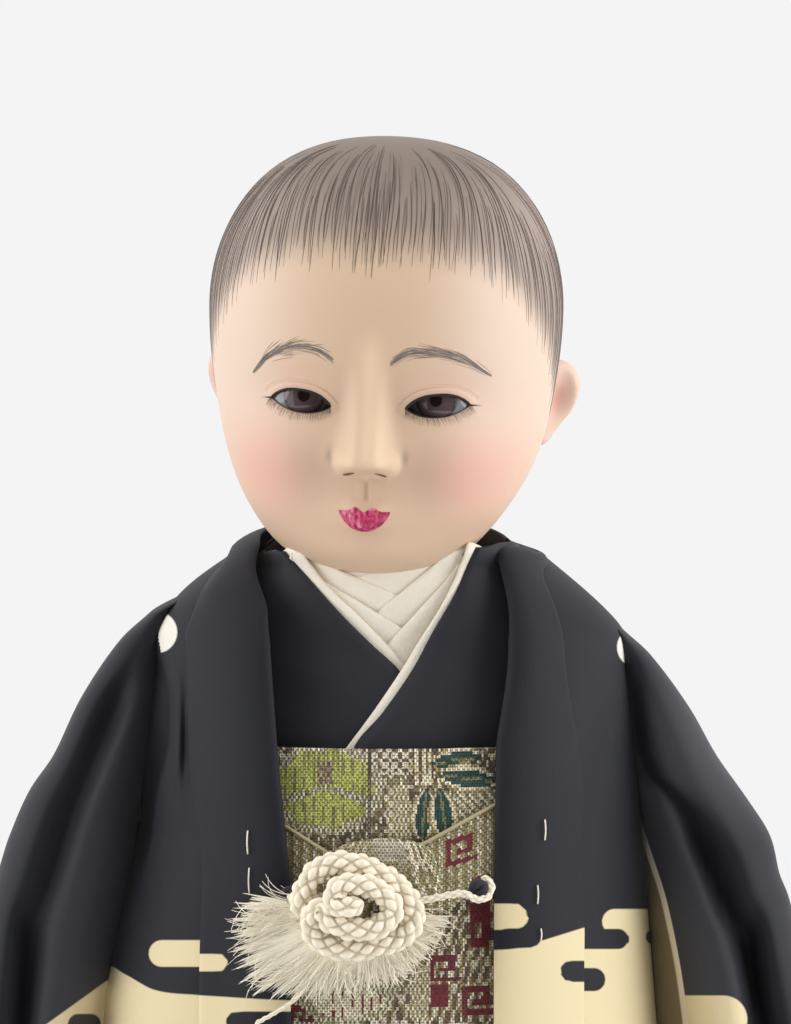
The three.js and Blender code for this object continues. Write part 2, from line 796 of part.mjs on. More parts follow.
function addHakama(root) {
  const seam = Math.PI / 2 - sideSeamGap;
  root.add(piece("hakama_front", hakamaHalf(-seam, seam, hakamaPleats * 2, true), brocade));
  root.add(
    piece("hakama_back", hakamaHalf(Math.PI - seam, Math.PI + seam, hakamaPleats, false), brocade),
  );
  root.add(piece("hakama_left_tie", tie(1, insetOf.tieOver), brocade));
  root.add(piece("hakama_right_tie", tie(-1, insetOf.tieUnder), brocade));
  const board = bodySheet(6, 2, lightCloth, (u, v) => {
    const z = lerp(hakamaTop + backBoardHeight / 2, hakamaTop - backBoardHeight / 2, v);
    const half = (backBoardWidth / 2) * lerp(0.72, 1, v);
    return { angle: Math.PI - angleAt(lerp(-half, half, u), z, 0), z, inset: insetOf.backBoard };
  });
  root.add(piece("hakama_back_board", board, brocade));
}

// Haori: two fronts, a back and one long band round the neck and down both fronts

// Soft folds that deepen towards the hem and die out at the neck.
function haoriDrape(angle, z) {
  const fall = smoothstep(shoulderHeight - z, 0, 120);
  return haoriFold * fall * (0.5 + 0.5 * Math.cos(angle * 9)) * smoothstep(Math.abs(angle), 0.85, 1.1);
}

function haoriFront(direction) {
  return bodySheet(8, 11, cloth, (u, v) => {
    const z = lerp(haoriNeckHeight, haoriHem, v ** 1.5);
    const edge = angleAt(haoriOpening, z, 0);
    const angle = direction * lerp(edge, Math.PI / 2 - sideSeamGap, u);
    return { angle, z, inset: insetOf.haori };
  });
}

function haoriBack() {
  const seam = Math.PI / 2 + sideSeamGap;
  return bodySheet(16, 8, cloth, (u, v) => {
    const angle = lerp(seam, 2 * Math.PI - seam, u);
    const z = lerp(haoriNeckHeight, haoriHem, v ** 1.5);
    const drape = haoriDrape(Math.PI - Math.abs(Math.PI - angle), z);
    return { angle, z, inset: insetOf.haori - drape };
  });
}

// Half of the band's edges, from the hem up over the shoulder to the back of the neck.
function bandEdge(x, neckZ) {
  const at = (z) => new THREE.Vector3(angleAt(x, z, 0), z, 0);
  const turnZ = shoulderHeight - 3;
  return new THREE.CatmullRomCurve3([
    ...[0, 0.35, 0.65, 0.87, 1].map((t) => at(lerp(haoriHem, turnZ, t))),
    new THREE.Vector3(degToRad(82), lerp(turnZ, neckZ, 0.72), 0),
    new THREE.Vector3(degToRad(130), neckZ - 0.5, 0),
    new THREE.Vector3(Math.PI, neckZ, 0),
  ]);
}

const bandInnerX = haoriOpening - 0.6;
const cordLoopX = bandInnerX - cordLoopRadius - cordLoopThickness;

function addHaori(root) {
  const holes = [1, -1].map(armTunnel);
  root.add(piece("haori_left_front", cut(haoriFront(1), ...holes), blackSilk));
  root.add(piece("haori_right_front", cut(haoriFront(-1), ...holes), blackSilk));
  root.add(piece("haori_back", cut(haoriBack(), ...holes), blackSilk));
  const inner = bandEdge(bandInnerX, neckRimHeight - 0.5);
  const outer = bandEdge(haoriOpening + haoriBandWidth, neckRimHeight - 12);
  const band = bodySheet(42, 2, cloth, (u, v) => {
    const along = 1 - Math.abs(2 * u - 1);
    const edge = inner.getPoint(along).lerp(outer.getPoint(along), v);
    return { angle: u < 0.5 ? edge.x : 2 * Math.PI - edge.x, z: edge.y, inset: insetOf.haoriBand };
  });
  root.add(piece("haori_band", band, blackSilk));
  for (const [name, direction] of Object.entries(side)) {
    const x = direction * cordLoopX;
    const y = onBody(angleAt(haoriOpening, cordLoopHeight, 0), cordLoopHeight, insetOf.haoriBand).y;
    const loop = new THREE.TorusGeometry(cordLoopRadius, cordLoopThickness / 2, 5, 12)
      .rotateX(Math.PI / 2)
      .translate(x, y - cordLoopThickness, cordLoopHeight);
    root.add(piece(`${name}_cord_loop`, loop, whiteCord));
  }
}

// Arms and sleeves. The sleeve's flat inner side lies in a leaning plane, square to the shoulder's axis.

const sleeveLean = Math.atan2(skirtHalfWidth - chestHalfWidth, chestHeight - haoriHem) + degToRad(1.2);
const sleeveInnerX = (z) =>
  chestHalfWidth + sleeveStandOff + (chestHeight - z) * Math.tan(sleeveLean);
const shoulderAxis = new THREE.Vector3(Math.cos(sleeveLean), 0, Math.sin(sleeveLean));
const shoulderPivot = new THREE.Vector3(torsoHalfWidth, 0, armholeHeight);
const armStub = (sleeveInnerX(armholeHeight) - torsoHalfWidth) / Math.cos(sleeveLean) + armStandOff;

// A tunnel through the clothes for the shoulder stub, drawn on the doll's left and mirrored for its right.
function armTunnel(direction) {
  const long = (sleeveInnerX(armholeHeight) - torsoHalfWidth + cloth + fit) * 1.04;
  const middle = shoulderPivot.clone().addScaledVector(shoulderAxis, long / 2);
  const tunnel = new THREE.CylinderGeometry(stubRadius + armholeRoom, stubRadius + armholeRoom, long, 14)
    .rotateZ(sleeveLean - Math.PI / 2)
    .translate(middle.x, middle.y, middle.z);
  return onSide(direction, tunnel);
}

// Width and depth of the sleeve from its shoulder (0) to its hem (1), as shares of the full size.
const sleeveWidthShare = through([
  [0, 0.12],
  [0.13, 0.39],
  [0.31, 0.7],
  [0.5, 0.88],
  [0.75, 0.97],
  [1, 1],
]);
const sleeveDepthShare = through([
  [0, 0.3],
  [0.13, 0.5],
  [0.31, 0.72],
  [0.6, 0.9],
  [1, 1],
]);

// One ring of the sleeve: a rounded oblong from the flat inner side outwards; its hem hangs lower inside.
function sleeveRing(v, inset, sides = 14) {
  const z = sleeveTop - sleeveDrop * v;
  const half = (sleeveFlare * sleeveWidthShare(v)) / 2;
  const depth = sleeveHalfDepth * sleeveDepthShare(v) - inset;
  const square = (value) => Math.sign(value) * Math.abs(value) ** 0.75;
  return Array.from({ length: sides }, (_, i) => {
    const turn = (i / sides) * 2 * Math.PI;
    const fold = sleeveFold * v * (0.5 + 0.5 * Math.cos(5 * turn)) * Math.max(0, Math.cos(turn));
    const across = square(Math.cos(turn));
    return new THREE.Vector3(
      sleeveInnerX(z) + half + across * (half - inset) - fold,
      depth * Math.sin(turn),
      z + sleeveSlant * v * v * across,
    );
  });
}

const sleeveRings = (from, to, steps, inset) =>
  Array.from({ length: steps + 1 }, (_, j) => sleeveRing(lerp(from, to, j / steps), inset));

const armPath = () => {
  const reach = armLength / 112;
  const bend = shoulderPivot
    .clone()
    .addScaledVector(shoulderAxis, armStub)
    .add(new THREE.Vector3(0, 0, -stubRadius * 0.6));
  const below = (x, y, z) => bend.clone().add(new THREE.Vector3(x, y, z).multiplyScalar(reach));
  return new THREE.CatmullRomCurve3([
    shoulderPivot.clone().addScaledVector(shoulderAxis, fit),
    shoulderPivot.clone().addScaledVector(shoulderAxis, armStub * 0.4),
    shoulderPivot.clone().addScaledVector(shoulderAxis, armStub * 0.75),
    bend,
    below(4.5, -1, -12),
    below(12.5, -4, -40),
    below(19, -7.5, -74),
    below(20.5, -8.5, -81),
  ]);
};

function handGeometry(path) {
  const wrist = path.getPoint(1);
  const palm = new THREE.SphereGeometry(1, 10, 6)
    .scale(palmThickness / 2, palmWidth / 2, palmLength / 2 + 1)
    .translate(wrist.x, wrist.y, wrist.z - palmLength / 3);
  const knuckles = wrist.z - palmLength * 0.75;
  const spread = (palmWidth - 2 * fingerRadius) / 3;
  const fingers = [-1.5, -0.5, 0.5, 1.5].map((k) =>
    new THREE.CapsuleGeometry(fingerRadius, fingerLength, 2, 6)
      .rotateX(Math.PI / 2)
      .rotateX(degToRad(5 * k))
      .translate(wrist.x, wrist.y + k * spread * 0.92, knuckles - fingerLength / 2 + Math.abs(k)),
  );
  const thumb = new THREE.CapsuleGeometry(fingerRadius * 1.1, fingerLength * 0.7, 2, 6)
    .rotateX(Math.PI / 2)
    .rotateX(degToRad(-38))
    .translate(wrist.x + 0.6, wrist.y - palmWidth * 0.55, wrist.z - palmLength * 0.45);
  return join(palm, ...fingers, thumb);
}

function addArms(root) {
  const path = armPath();
  const elbow = 0.7;
  const swell = (t) => lerp(stubRadius, armRadius, smoothstep(t, 0.42, 0.62));
  const upper = roundBar(path, 11, 8, swell, 0, elbow - 0.003);
  const forearm = join(
    roundBar(path, 4, 8, (t) => lerp(armRadius, wristRadius, (t - elbow) / (1 - elbow)), elbow, 1),
    handGeometry(path),
  );
  const haoriSleeve = cut(
    loft(sleeveRings(0, 1, 9, 0)),
    loft(sleeveRings(0.03, 1.03, 9, cloth)),
    armTunnel(1),
  );
  const inside = cloth + layerGap;
  const kimonoSleeve = cut(
    loft(sleeveRings(0.36, 0.985, 5, inside)),
    loft(sleeveRings(0.35, 1, 5, inside + lightCloth)),
  );
  for (const [name, direction] of Object.entries(side)) {
    root.add(piece(`${name}_upper_arm`, onSide(direction, upper), muslin));
    root.add(piece(`${name}_forearm`, onSide(direction, forearm), gofun));
    root.add(piece(`${name}_haori_sleeve`, onSide(direction, haoriSleeve), blackSilk));
    root.add(piece(`${name}_kimono_sleeve`, onSide(direction, kimonoSleeve), creamSilk));
  }
}

// Legs: stuffed thighs with round tops in the hip sockets, lower legs with feet, split-toed tabi

const heelBehind = 14;
const footWidthShare = through([
  [0, 0.35],
  [0.06, 0.64],
  [0.2, 0.8],
  [0.45, 0.86],
  [0.7, 1],
  [0.88, 0.94],
  [0.97, 0.68],
  [1, 0.4],
]);
const footHeightShare = through([
  [0, 0.7],
  [0.08, 0.9],
  [0.22, 1],
  [0.45, 0.92],
  [0.7, 0.74],
  [0.9, 0.58],
  [1, 0.36],
]);

// A foot from heel to toe: arches over a flat sole, set in all round by the given amount.
function footLoft(from, to, inset) {
  const steps = 7;
  const footHeight = tabiTop * 0.42;
  return loft(
    Array.from({ length: steps + 1 }, (_, j) => {
      const s = lerp(from, to, j / steps);
      const half = (footWidth / 2) * footWidthShare(s) - inset;
      const height = footHeight * footHeightShare(s) - 2 * inset;
      return Array.from({ length: 7 }, (_, i) => {
        const turn = (i / 6) * Math.PI;
        return new THREE.Vector3(
          hipSpacing / 2 + half * Math.cos(turn),
          heelBehind - footLength * s,
          inset + height * Math.sin(turn) ** 0.8,
        );
      });
    }),
  );
}

function addLegs(root) {
  const standing = (geometry) => geometry.translate(hipSpacing / 2, 0, 0);
  const thighProfile = [[0, kneeHeight], [kneeRadius, kneeHeight]];
  for (let i = 1; i < 5; i++) {
    const t = i / 5;
    thighProfile.push([
      lerp(kneeRadius, thighRadius, t) + 0.6 * Math.sin(Math.PI * t),
      lerp(kneeHeight, hipHeight, t),
    ]);
  }
  for (let i = 0; i <= 5; i++) {
    const turn = (i / 5) * (Math.PI / 2);
    thighProfile.push([thighRadius * Math.cos(turn), hipHeight + thighRadius * Math.sin(turn)]);
  }
  thighProfile[thighProfile.length - 1][0] = 0;
  const thigh = standing(lathe(thighProfile, 14));

  const shinTop = kneeHeight - layerGap;
  const shin = standing(
    lathe(
      [
        [0, 3],
        [ankleRadius, 3],
        [ankleRadius, tabiTop],
        [kneeRadius - 1, lerp(tabiTop, shinTop, 0.55)],
        [kneeRadius - 0.6, shinTop - 2],
        [kneeRadius - 1, shinTop],
        [0, shinTop],
      ],
      14,
    ),
  );
  const lowerLeg = join(shin, footLoft(0.08, 0.74, tabiWall + fit));

  const cuff = (radius, from, to) =>
    standing(
      new THREE.CylinderGeometry(radius, radius, to - from, 14)
        .rotateX(Math.PI / 2)
        .translate(0, 0, (from + to) / 2),
    );
  const toeGap = new THREE.BoxGeometry(1, footLength * 0.2, tabiTop).translate(
    hipSpacing / 2 - footWidth * 0.16,
    heelBehind - footLength,
    tabiTop / 2,
  );
  const tabi = cut(
    join(footLoft(0, 1, 0), cuff(ankleRadius + fit + tabiWall, 2, tabiTop)),
    footLoft(0.06, 0.77, tabiWall),
    cuff(ankleRadius + fit, 2, tabiTop + 1),
    toeGap,
  );
  for (const [name, direction] of Object.entries(side)) {
    root.add(piece(`${name}_thigh`, onSide(direction, thigh), muslin));
    root.add(piece(`${name}_lower_leg`, onSide(direction, lowerLeg), gofun));
    root.add(piece(`${name}_tabi`, onSide(direction, tabi), whiteCotton));
  }
}

// Haori cord: a thin cord from each loop, meeting behind a wound rosette that a tassel fans out from

const thinCord = cordDiameter * 0.5;
const restY = -(halfDepthAt(rosetteHeight) - insetOf.haoriBand) - layerGap;
const tasselFront = restY - tasselThickness;
const rosetteY = tasselFront - layerGap - cordDiameter / 2;
const rosettePitch = cordDiameter + 1;
const rosetteFlat = 0.92;
const stepsPerTurn = 22;

// The rosette's middle line: a flat spiral that rises towards its middle.
function rosetteLine() {
  const points = [];
  const steps = stepsPerTurn * rosetteTurns;
  for (let i = 0; i <= steps; i++) {
    const turn = (i / steps) * rosetteTurns;
    const radius = rosettePitch * (rosetteTurns - turn) + 0.35 * cordDiameter;
    const angle = degToRad(200) - turn * 2 * Math.PI;
    points.push(
      new THREE.Vector3(
        rosetteOffset + radius * Math.cos(angle),
        rosetteY - 1.2 * (turn / rosetteTurns),
        rosetteHeight + rosetteFlat * radius * Math.sin(angle),
      ),
    );
  }
  return points;
}

// The least room between one winding and the next, measured on the line's own points.
function leastGap(points) {
  let least = Infinity;
  for (let i = 0; i < points.length; i++)
    for (let j = i + stepsPerTurn / 2; j < points.length; j++)
      least = Math.min(least, points[i].distanceTo(points[j]));
  return least - cordDiameter;
}

function cordTube(points, radius, steps, sides) {
  const section = new THREE.Shape();
  section.absarc(0, 0, radius, 0, 2 * Math.PI);
  const extrudePath = new THREE.CatmullRomCurve3(points);
  return new THREE.ExtrudeGeometry(section, {
    steps,
    extrudePath,
    bevelEnabled: false,
    curveSegments: sides,
  });
}

function addCord(root) {
  const line = rosetteLine();
  console.log(`rosette windings stay ${leastGap(line).toFixed(2)} mm apart`);
  root.add(piece("cord_rosette", cordTube(line, cordDiameter / 2, line.length - 1, 3), whiteCord));
  for (const [name, direction] of Object.entries(side)) {
    const from = cordLoopX - cordLoopRadius * 0.1;
    const to = direction > 0 ? 1 : -rosetteOffset + 4;
    const points = [0, 0.35, 0.7, 1].map(
      (t) =>
        new THREE.Vector3(
          direction * lerp(from, to, t),
          restY - thinCord / 2 - 0.9 * Math.sin(Math.PI * t),
          cordLoopHeight - 1.5 * t,
        ),
    );
    root.add(piece(`${name}_cord`, cordTube(points, thinCord / 2, 8, 3), whiteCord));
  }
  const top = rosetteHeight - 2;
  const strand = (y) => (u, v) => {
    const angle = degToRad(lerp(184, 350, u));
    const reach = lerp(4, tasselReach * (1 - 0.24 * smoothstep(u, 0.25, 0.75)), v);
    const wave = 0.35 * Math.cos(u * 14 * Math.PI) * v;
    return new THREE.Vector3(
      rosetteOffset + reach * Math.cos(angle),
      y + wave,
      top + reach * Math.sin(angle) * 0.86,
    );
  };
  const margin = 0.4;
  const tassel = sheet(20, 3, strand(tasselFront + margin), strand(restY - margin));
  root.add(piece("cord_tassel", tassel, whiteCord));
}

const doll = new THREE.Group();
doll.name = "ichimatsu_doll";
addHead(doll);
addTorso(doll);
addCollars(doll);
addKimono(doll);
addHakama(doll);
addHaori(doll);
addArms(doll);
addLegs(doll);
addCord(doll);

export default doll;
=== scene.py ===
# Looks of the boy doll: painted head, glass eyes, layered collars, black crested haori, brocade hakama and cream cord.
# Lengths in the formulas are millimetres; +Z is up, the doll faces -Y and its own left is +X.
import math

import bpy
import numpy as np
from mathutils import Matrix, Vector


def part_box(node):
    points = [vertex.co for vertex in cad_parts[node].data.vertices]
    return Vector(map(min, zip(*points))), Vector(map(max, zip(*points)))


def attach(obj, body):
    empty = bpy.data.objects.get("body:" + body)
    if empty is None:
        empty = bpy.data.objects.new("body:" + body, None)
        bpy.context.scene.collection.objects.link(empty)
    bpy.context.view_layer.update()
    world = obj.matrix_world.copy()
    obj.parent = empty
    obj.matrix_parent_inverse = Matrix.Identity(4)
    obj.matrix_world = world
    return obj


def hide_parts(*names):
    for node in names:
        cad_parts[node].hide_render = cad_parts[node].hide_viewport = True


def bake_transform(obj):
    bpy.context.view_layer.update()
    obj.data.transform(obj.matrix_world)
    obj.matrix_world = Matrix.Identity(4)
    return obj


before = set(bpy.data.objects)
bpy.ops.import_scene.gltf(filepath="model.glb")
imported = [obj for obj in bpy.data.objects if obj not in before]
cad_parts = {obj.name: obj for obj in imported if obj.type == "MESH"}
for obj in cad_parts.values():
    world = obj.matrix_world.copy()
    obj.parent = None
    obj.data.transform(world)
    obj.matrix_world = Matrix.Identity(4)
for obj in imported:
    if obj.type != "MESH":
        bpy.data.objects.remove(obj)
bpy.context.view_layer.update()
random = np.random.default_rng(11)
scene = bpy.context.scene


# General helpers: soft step, bell curve and blend


def smooth(x, low, high):
    t = np.clip((np.asarray(x, float) - low) / (high - low), 0, 1)
    return t * t * (3 - 2 * t)


def bell(x, width):
    return np.exp(-((np.asarray(x, float) / width) ** 2))


def mix(a, b, t):
    return a + (b - a) * t


# Smooth curve through stations sorted by their first value: a cubic Hermite spline with chord tangents.
def through(stations):
    xs, ys = np.array(stations, float).T
    last = len(xs) - 1
    before = np.maximum(np.arange(last + 1) - 1, 0)
    after = np.minimum(np.arange(last + 1) + 1, last)
    slope = (ys[after] - ys[before]) / (xs[after] - xs[before])

    def at(x):
        x = np.asarray(x, float)
        i = np.clip(np.searchsorted(xs, x, side="right") - 1, 0, last - 1)
        span = xs[i + 1] - xs[i]
        t = np.clip((x - xs[i]) / span, 0, 1)
        rise = ys[i] + (ys[i + 1] - ys[i]) * t * t * (3 - 2 * t)
        return rise + span * (slope[i] * t * (1 - t) ** 2 + slope[i + 1] * t * t * (t - 1))

    return at


# A curve in space through points, by the same spline over the points' running length.
def curveThrough(points):
    points = np.array(points, float)
    steps = np.linalg.norm(np.diff(points, axis=0), axis=1)
    run = np.concatenate([[0], np.cumsum(steps)]) / steps.sum()
    parts = [through(np.stack([run, points[:, k]], 1)) for k in range(points.shape[1])]
    return lambda t: np.stack([part(t) for part in parts], -1)


# A turn about the x, y or z axis (0, 1, 2).
def turnAbout(axis, degrees):
    c, s = math.cos(math.radians(degrees)), math.sin(math.radians(degrees))
    a, b = ((1, 2), (2, 0), (0, 1))[axis]
    made = np.eye(3)
    made[a, a], made[a, b], made[b, a], made[b, b] = c, -s, s, c
    return made


# Smooth noise between -1 and 1: a sum of sines in fixed directions, so it needs no table.
def ripple(x, y, scale, seed=0):
    made = np.zeros(np.broadcast(x, y).shape)
    for k in range(5):
        turn = 2.4 * k + 1.7 * seed
        stretch = scale * (0.6 + 0.35 * k)
        made = made + np.sin((x * math.cos(turn) + y * math.sin(turn)) / stretch * 2 * math.pi + 3.1 * k + seed)
    return made / 5


def grid(uCount, vCount):
    u, v = np.meshgrid(np.linspace(0, 1, uCount), np.linspace(0, 1, vCount), indexing="ij")
    return u, v


# Quads of a grid whose points are stored u by u, and of its closing seam where u runs round.
def gridFaces(uCount, vCount, closedU=False):
    i = np.arange(uCount if closedU else uCount - 1)[:, None]
    j = np.arange(vCount - 1)[None, :]
    a = i * vCount + j
    b = ((i + 1) % uCount) * vCount + j
    return np.stack([a, b, b + 1, a + 1], -1).reshape(-1, 4)


# Faces of a tube whose lines of points run from end to end, closed at both ends.
def tubeFaces(sides, steps):
    first = np.arange(sides) * steps
    return [gridFaces(sides, steps, True), np.stack([first, (first + steps - 1)[::-1]])]


# Faces turned so that they look away from a centre, given as a point or as one point for each vertex.
def facingOut(points, groups, centre):
    away = points - centre
    total = 0.0
    for faces in groups:
        a, b, c = (points[faces[:, k]] for k in (0, 1, 2))
        total += np.einsum("ij,ij->", np.cross(b - a, c - a), away[faces[:, 0]])
    return groups if total >= 0 else [faces[:, ::-1] for faces in groups]


# A mesh object from points in millimetres and groups of faces, with a UV map and named values at its points.
def addPiece(name, points, groups, material, body, centre=None, uv=None, values=None, tones=None, cellTones=None):
    points = np.asarray(points, float).reshape(-1, 3)
    if centre is None:
        centre = points * np.array([0, 0, 1])
    groups = facingOut(points, [np.asarray(g) for g in groups if len(g)], centre)
    corners = np.concatenate([g.ravel() for g in groups])
    counts = np.concatenate([np.full(len(g), g.shape[1]) for g in groups])
    mesh = bpy.data.meshes.new(name)
    mesh.vertices.add(len(points))
    mesh.vertices.foreach_set("co", (points * 0.001).ravel())
    mesh.loops.add(len(corners))
    mesh.loops.foreach_set("vertex_index", corners.astype(np.int32))
    mesh.polygons.add(len(counts))
    mesh.polygons.foreach_set("loop_start", (np.cumsum(counts) - counts).astype(np.int32))
    mesh.polygons.foreach_set("use_smooth", np.full(len(counts), True))
    mesh.update(calc_edges=True)
    if uv is not None:
        layer = mesh.uv_layers.new(name="UVMap")
        layer.data.foreach_set("uv", np.asarray(uv, float).reshape(-1, 2)[corners].ravel())
    for key, value in (values or {}).items():
        attribute = mesh.attributes.new(key, "FLOAT", "POINT")
        attribute.data.foreach_set("value", np.asarray(value, float).ravel())
    if tones is not None:
        attribute = mesh.attributes.new("tone", "FLOAT_COLOR", "POINT")
        rgba = np.concatenate([np.asarray(tones, float).reshape(-1, 3), np.ones((len(points), 1))], 1)
        attribute.data.foreach_set("color", rgba.ravel())
    if cellTones is not None:
        attribute = mesh.attributes.new("tone", "FLOAT_COLOR", "CORNER")
        rgba = np.concatenate([np.asarray(cellTones, float), np.ones((len(cellTones), 1))], 1)
        attribute.data.foreach_set("color", np.repeat(rgba, counts, axis=0).ravel())
    made = bpy.data.objects.new(name, mesh)
    scene.collection.objects.link(made)
    mesh.materials.append(material)
    if body:
        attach(made, body)
    return made


def thicken(piece, thickness):
    made = piece.modifiers.new("thickness", "SOLIDIFY")
    made.thickness = thickness * 0.001
    made.offset = -1


# Round bars along many paths at once: paths (strands, steps, 3) and radii (strands, steps), closed at both ends.
def bars(paths, radii, sides=4, side=None):
    paths = np.asarray(paths, float)
    strands, steps = paths.shape[:2]
    along = np.gradient(paths, axis=1)
    along /= np.linalg.norm(along, axis=-1, keepdims=True) + 1e-12
    if side is None:
        side = np.array([0.31, -0.87, 0.38])
    across = np.cross(along, np.broadcast_to(side, along.shape))
    across /= np.linalg.norm(across, axis=-1, keepdims=True) + 1e-12
    up = np.cross(across, along)
    turn = np.arange(sides) * 2 * math.pi / sides
    ring = across[:, :, None] * np.cos(turn)[:, None] + up[:, :, None] * np.sin(turn)[:, None]
    points = paths[:, :, None] + ring * np.asarray(radii, float)[:, :, None, None]
    base = (np.arange(strands) * steps * sides)[:, None, None]
    i = np.arange(steps - 1)[None, :, None] * sides
    k = np.arange(sides)[None, None, :]
    a = base + i + k
    b = base + i + (k + 1) % sides
    walls = np.stack([a, b, b + sides, a + sides], -1).reshape(-1, 4)
    caps = base[:, 0] + np.arange(sides)[None]
    ends = caps + (steps - 1) * sides
    return points.reshape(-1, 3), [walls, caps[:, ::-1], ends]


# Materials


def newMaterial(name, colour, roughness, metallic=0.0, specular=0.3, sheen=0.0):
    made = bpy.data.materials.new(name)
    made.use_nodes = True
    shader = made.node_tree.nodes["Principled BSDF"]
    shader.inputs["Base Color"].default_value = (*colour, 1)
    shader.inputs["Roughness"].default_value = roughness
    shader.inputs["Metallic"].default_value = metallic
    shader.inputs["Specular IOR Level"].default_value = specular
    shader.inputs["Sheen Weight"].default_value = sheen
    return made


def node(material, kind, **settings):
    made = material.node_tree.nodes.new(kind)
    for key, value in settings.items():
        setattr(made, key, value)
    return made


def link(material, source, target):
    material.node_tree.links.new(source, target)


def shaderOf(material):
    return material.node_tree.nodes["Principled BSDF"]


# Fine grain in the surface: noise at the given size in millimetres, raised by the given height.
def addGrain(material, size, height, stretch=(1, 1, 1)):
    place = node(material, "ShaderNodeTexCoord")
    scaled = node(material, "ShaderNodeMapping")
    scaled.inputs["Scale"].default_value = tuple(1000 / size / s for s in stretch)
    noise = node(material, "ShaderNodeTexNoise")
    noise.inputs["Scale"].default_value = 1
    noise.inputs["Detail"].default_value = 2
    bump = node(material, "ShaderNodeBump")
    bump.inputs["Distance"].default_value = height * 0.001
    bump.inputs["Strength"].default_value = 1
    link(material, place.outputs["Object"], scaled.inputs["Vector"])
    link(material, scaled.outputs["Vector"], noise.inputs["Vector"])
    link(material, noise.outputs["Fac"], bump.inputs["Height"])
    link(material, bump.outputs["Normal"], shaderOf(material).inputs["Normal"])


# The piece's own tones, kept at its points, are the colour.
def useTones(material):
    tone = node(material, "ShaderNodeAttribute", attribute_name="tone")
    link(material, tone.outputs["Color"], shaderOf(material).inputs["Base Color"])


# A value moved from the range low to high onto 0 to 1.
def ranged(material, source, low, high):
    made = node(material, "ShaderNodeMapRange")
    made.inputs["From Min"].default_value = low
    made.inputs["From Max"].default_value = high
    link(material, source, made.inputs["Value"])
    return made.outputs["Result"]


# A mix of two colours by a factor, each colour fixed or another node's output.
def blended(material, factor, first, second):
    made = node(material, "ShaderNodeMix", data_type="RGBA")
    link(material, factor, made.inputs["Factor"])
    for key, colour in (("A", first), ("B", second)):
        if isinstance(colour, tuple):
            made.inputs[key].default_value = (*colour, 1)
        else:
            link(material, colour, made.inputs[key])
    return made.outputs["Result"]


skinPaint = newMaterial("gofun", (0.72, 0.53, 0.38), 0.5, specular=0.25)
useTones(skinPaint)
addGrain(skinPaint, 6, 0.05)
strokePaint = newMaterial("ink", (0.06, 0.045, 0.04), 0.6, specular=0.15)
useTones(strokePaint)
lipPaint = newMaterial("lip_red", (0.36, 0.035, 0.09), 0.28, specular=0.5)
blackSilk = newMaterial("black_silk", (0.022, 0.0225, 0.029), 0.62, specular=0.22, sheen=0.12)
addGrain(blackSilk, 0.5, 0.05)
creamCrepe = newMaterial("cream_crepe", (0.93, 0.86, 0.74), 0.8, specular=0.15, sheen=0.15)
addGrain(creamCrepe, 0.55, 0.16, (1, 1, 0.6))
cordSilk = newMaterial("cord_silk", (0.86, 0.78, 0.62), 0.45, specular=0.4, sheen=0.1)
addGrain(cordSilk, 0.4, 0.06)
useTones(cordSilk)
muslin = newMaterial("muslin", (0.70, 0.63, 0.5), 0.9, specular=0.1)
addGrain(muslin, 0.6, 0.08)
whiteCotton = newMaterial("white_cotton", (0.8, 0.78, 0.74), 0.85, specular=0.1)
addGrain(whiteCotton, 0.5, 0.06)
print("materials made")


# Camera, light and floor

view = {"aim": (1.1, -10.0, 327.6), "elevation": 4.0, "distance": 1000.0, "lens": 169.8, "sensor": 36.0}
# Lamps, card and floor: watts and metres.
light = {
    "surround": 0.904,
    "aim": (0, 0, 0.32),
    "leftWatts": 4.3,
    "rightWatts": 5.6,
    "topWatts": 1.6,
    "sideSize": 0.9,
    "frontWatts": 0.8,
    "frontSize": 0.3,
    "cardHalf": 0.95,
    "cardAway": 1.3,
    "cardHeight": 0.35,
    "floorRadius": 0.6,
}


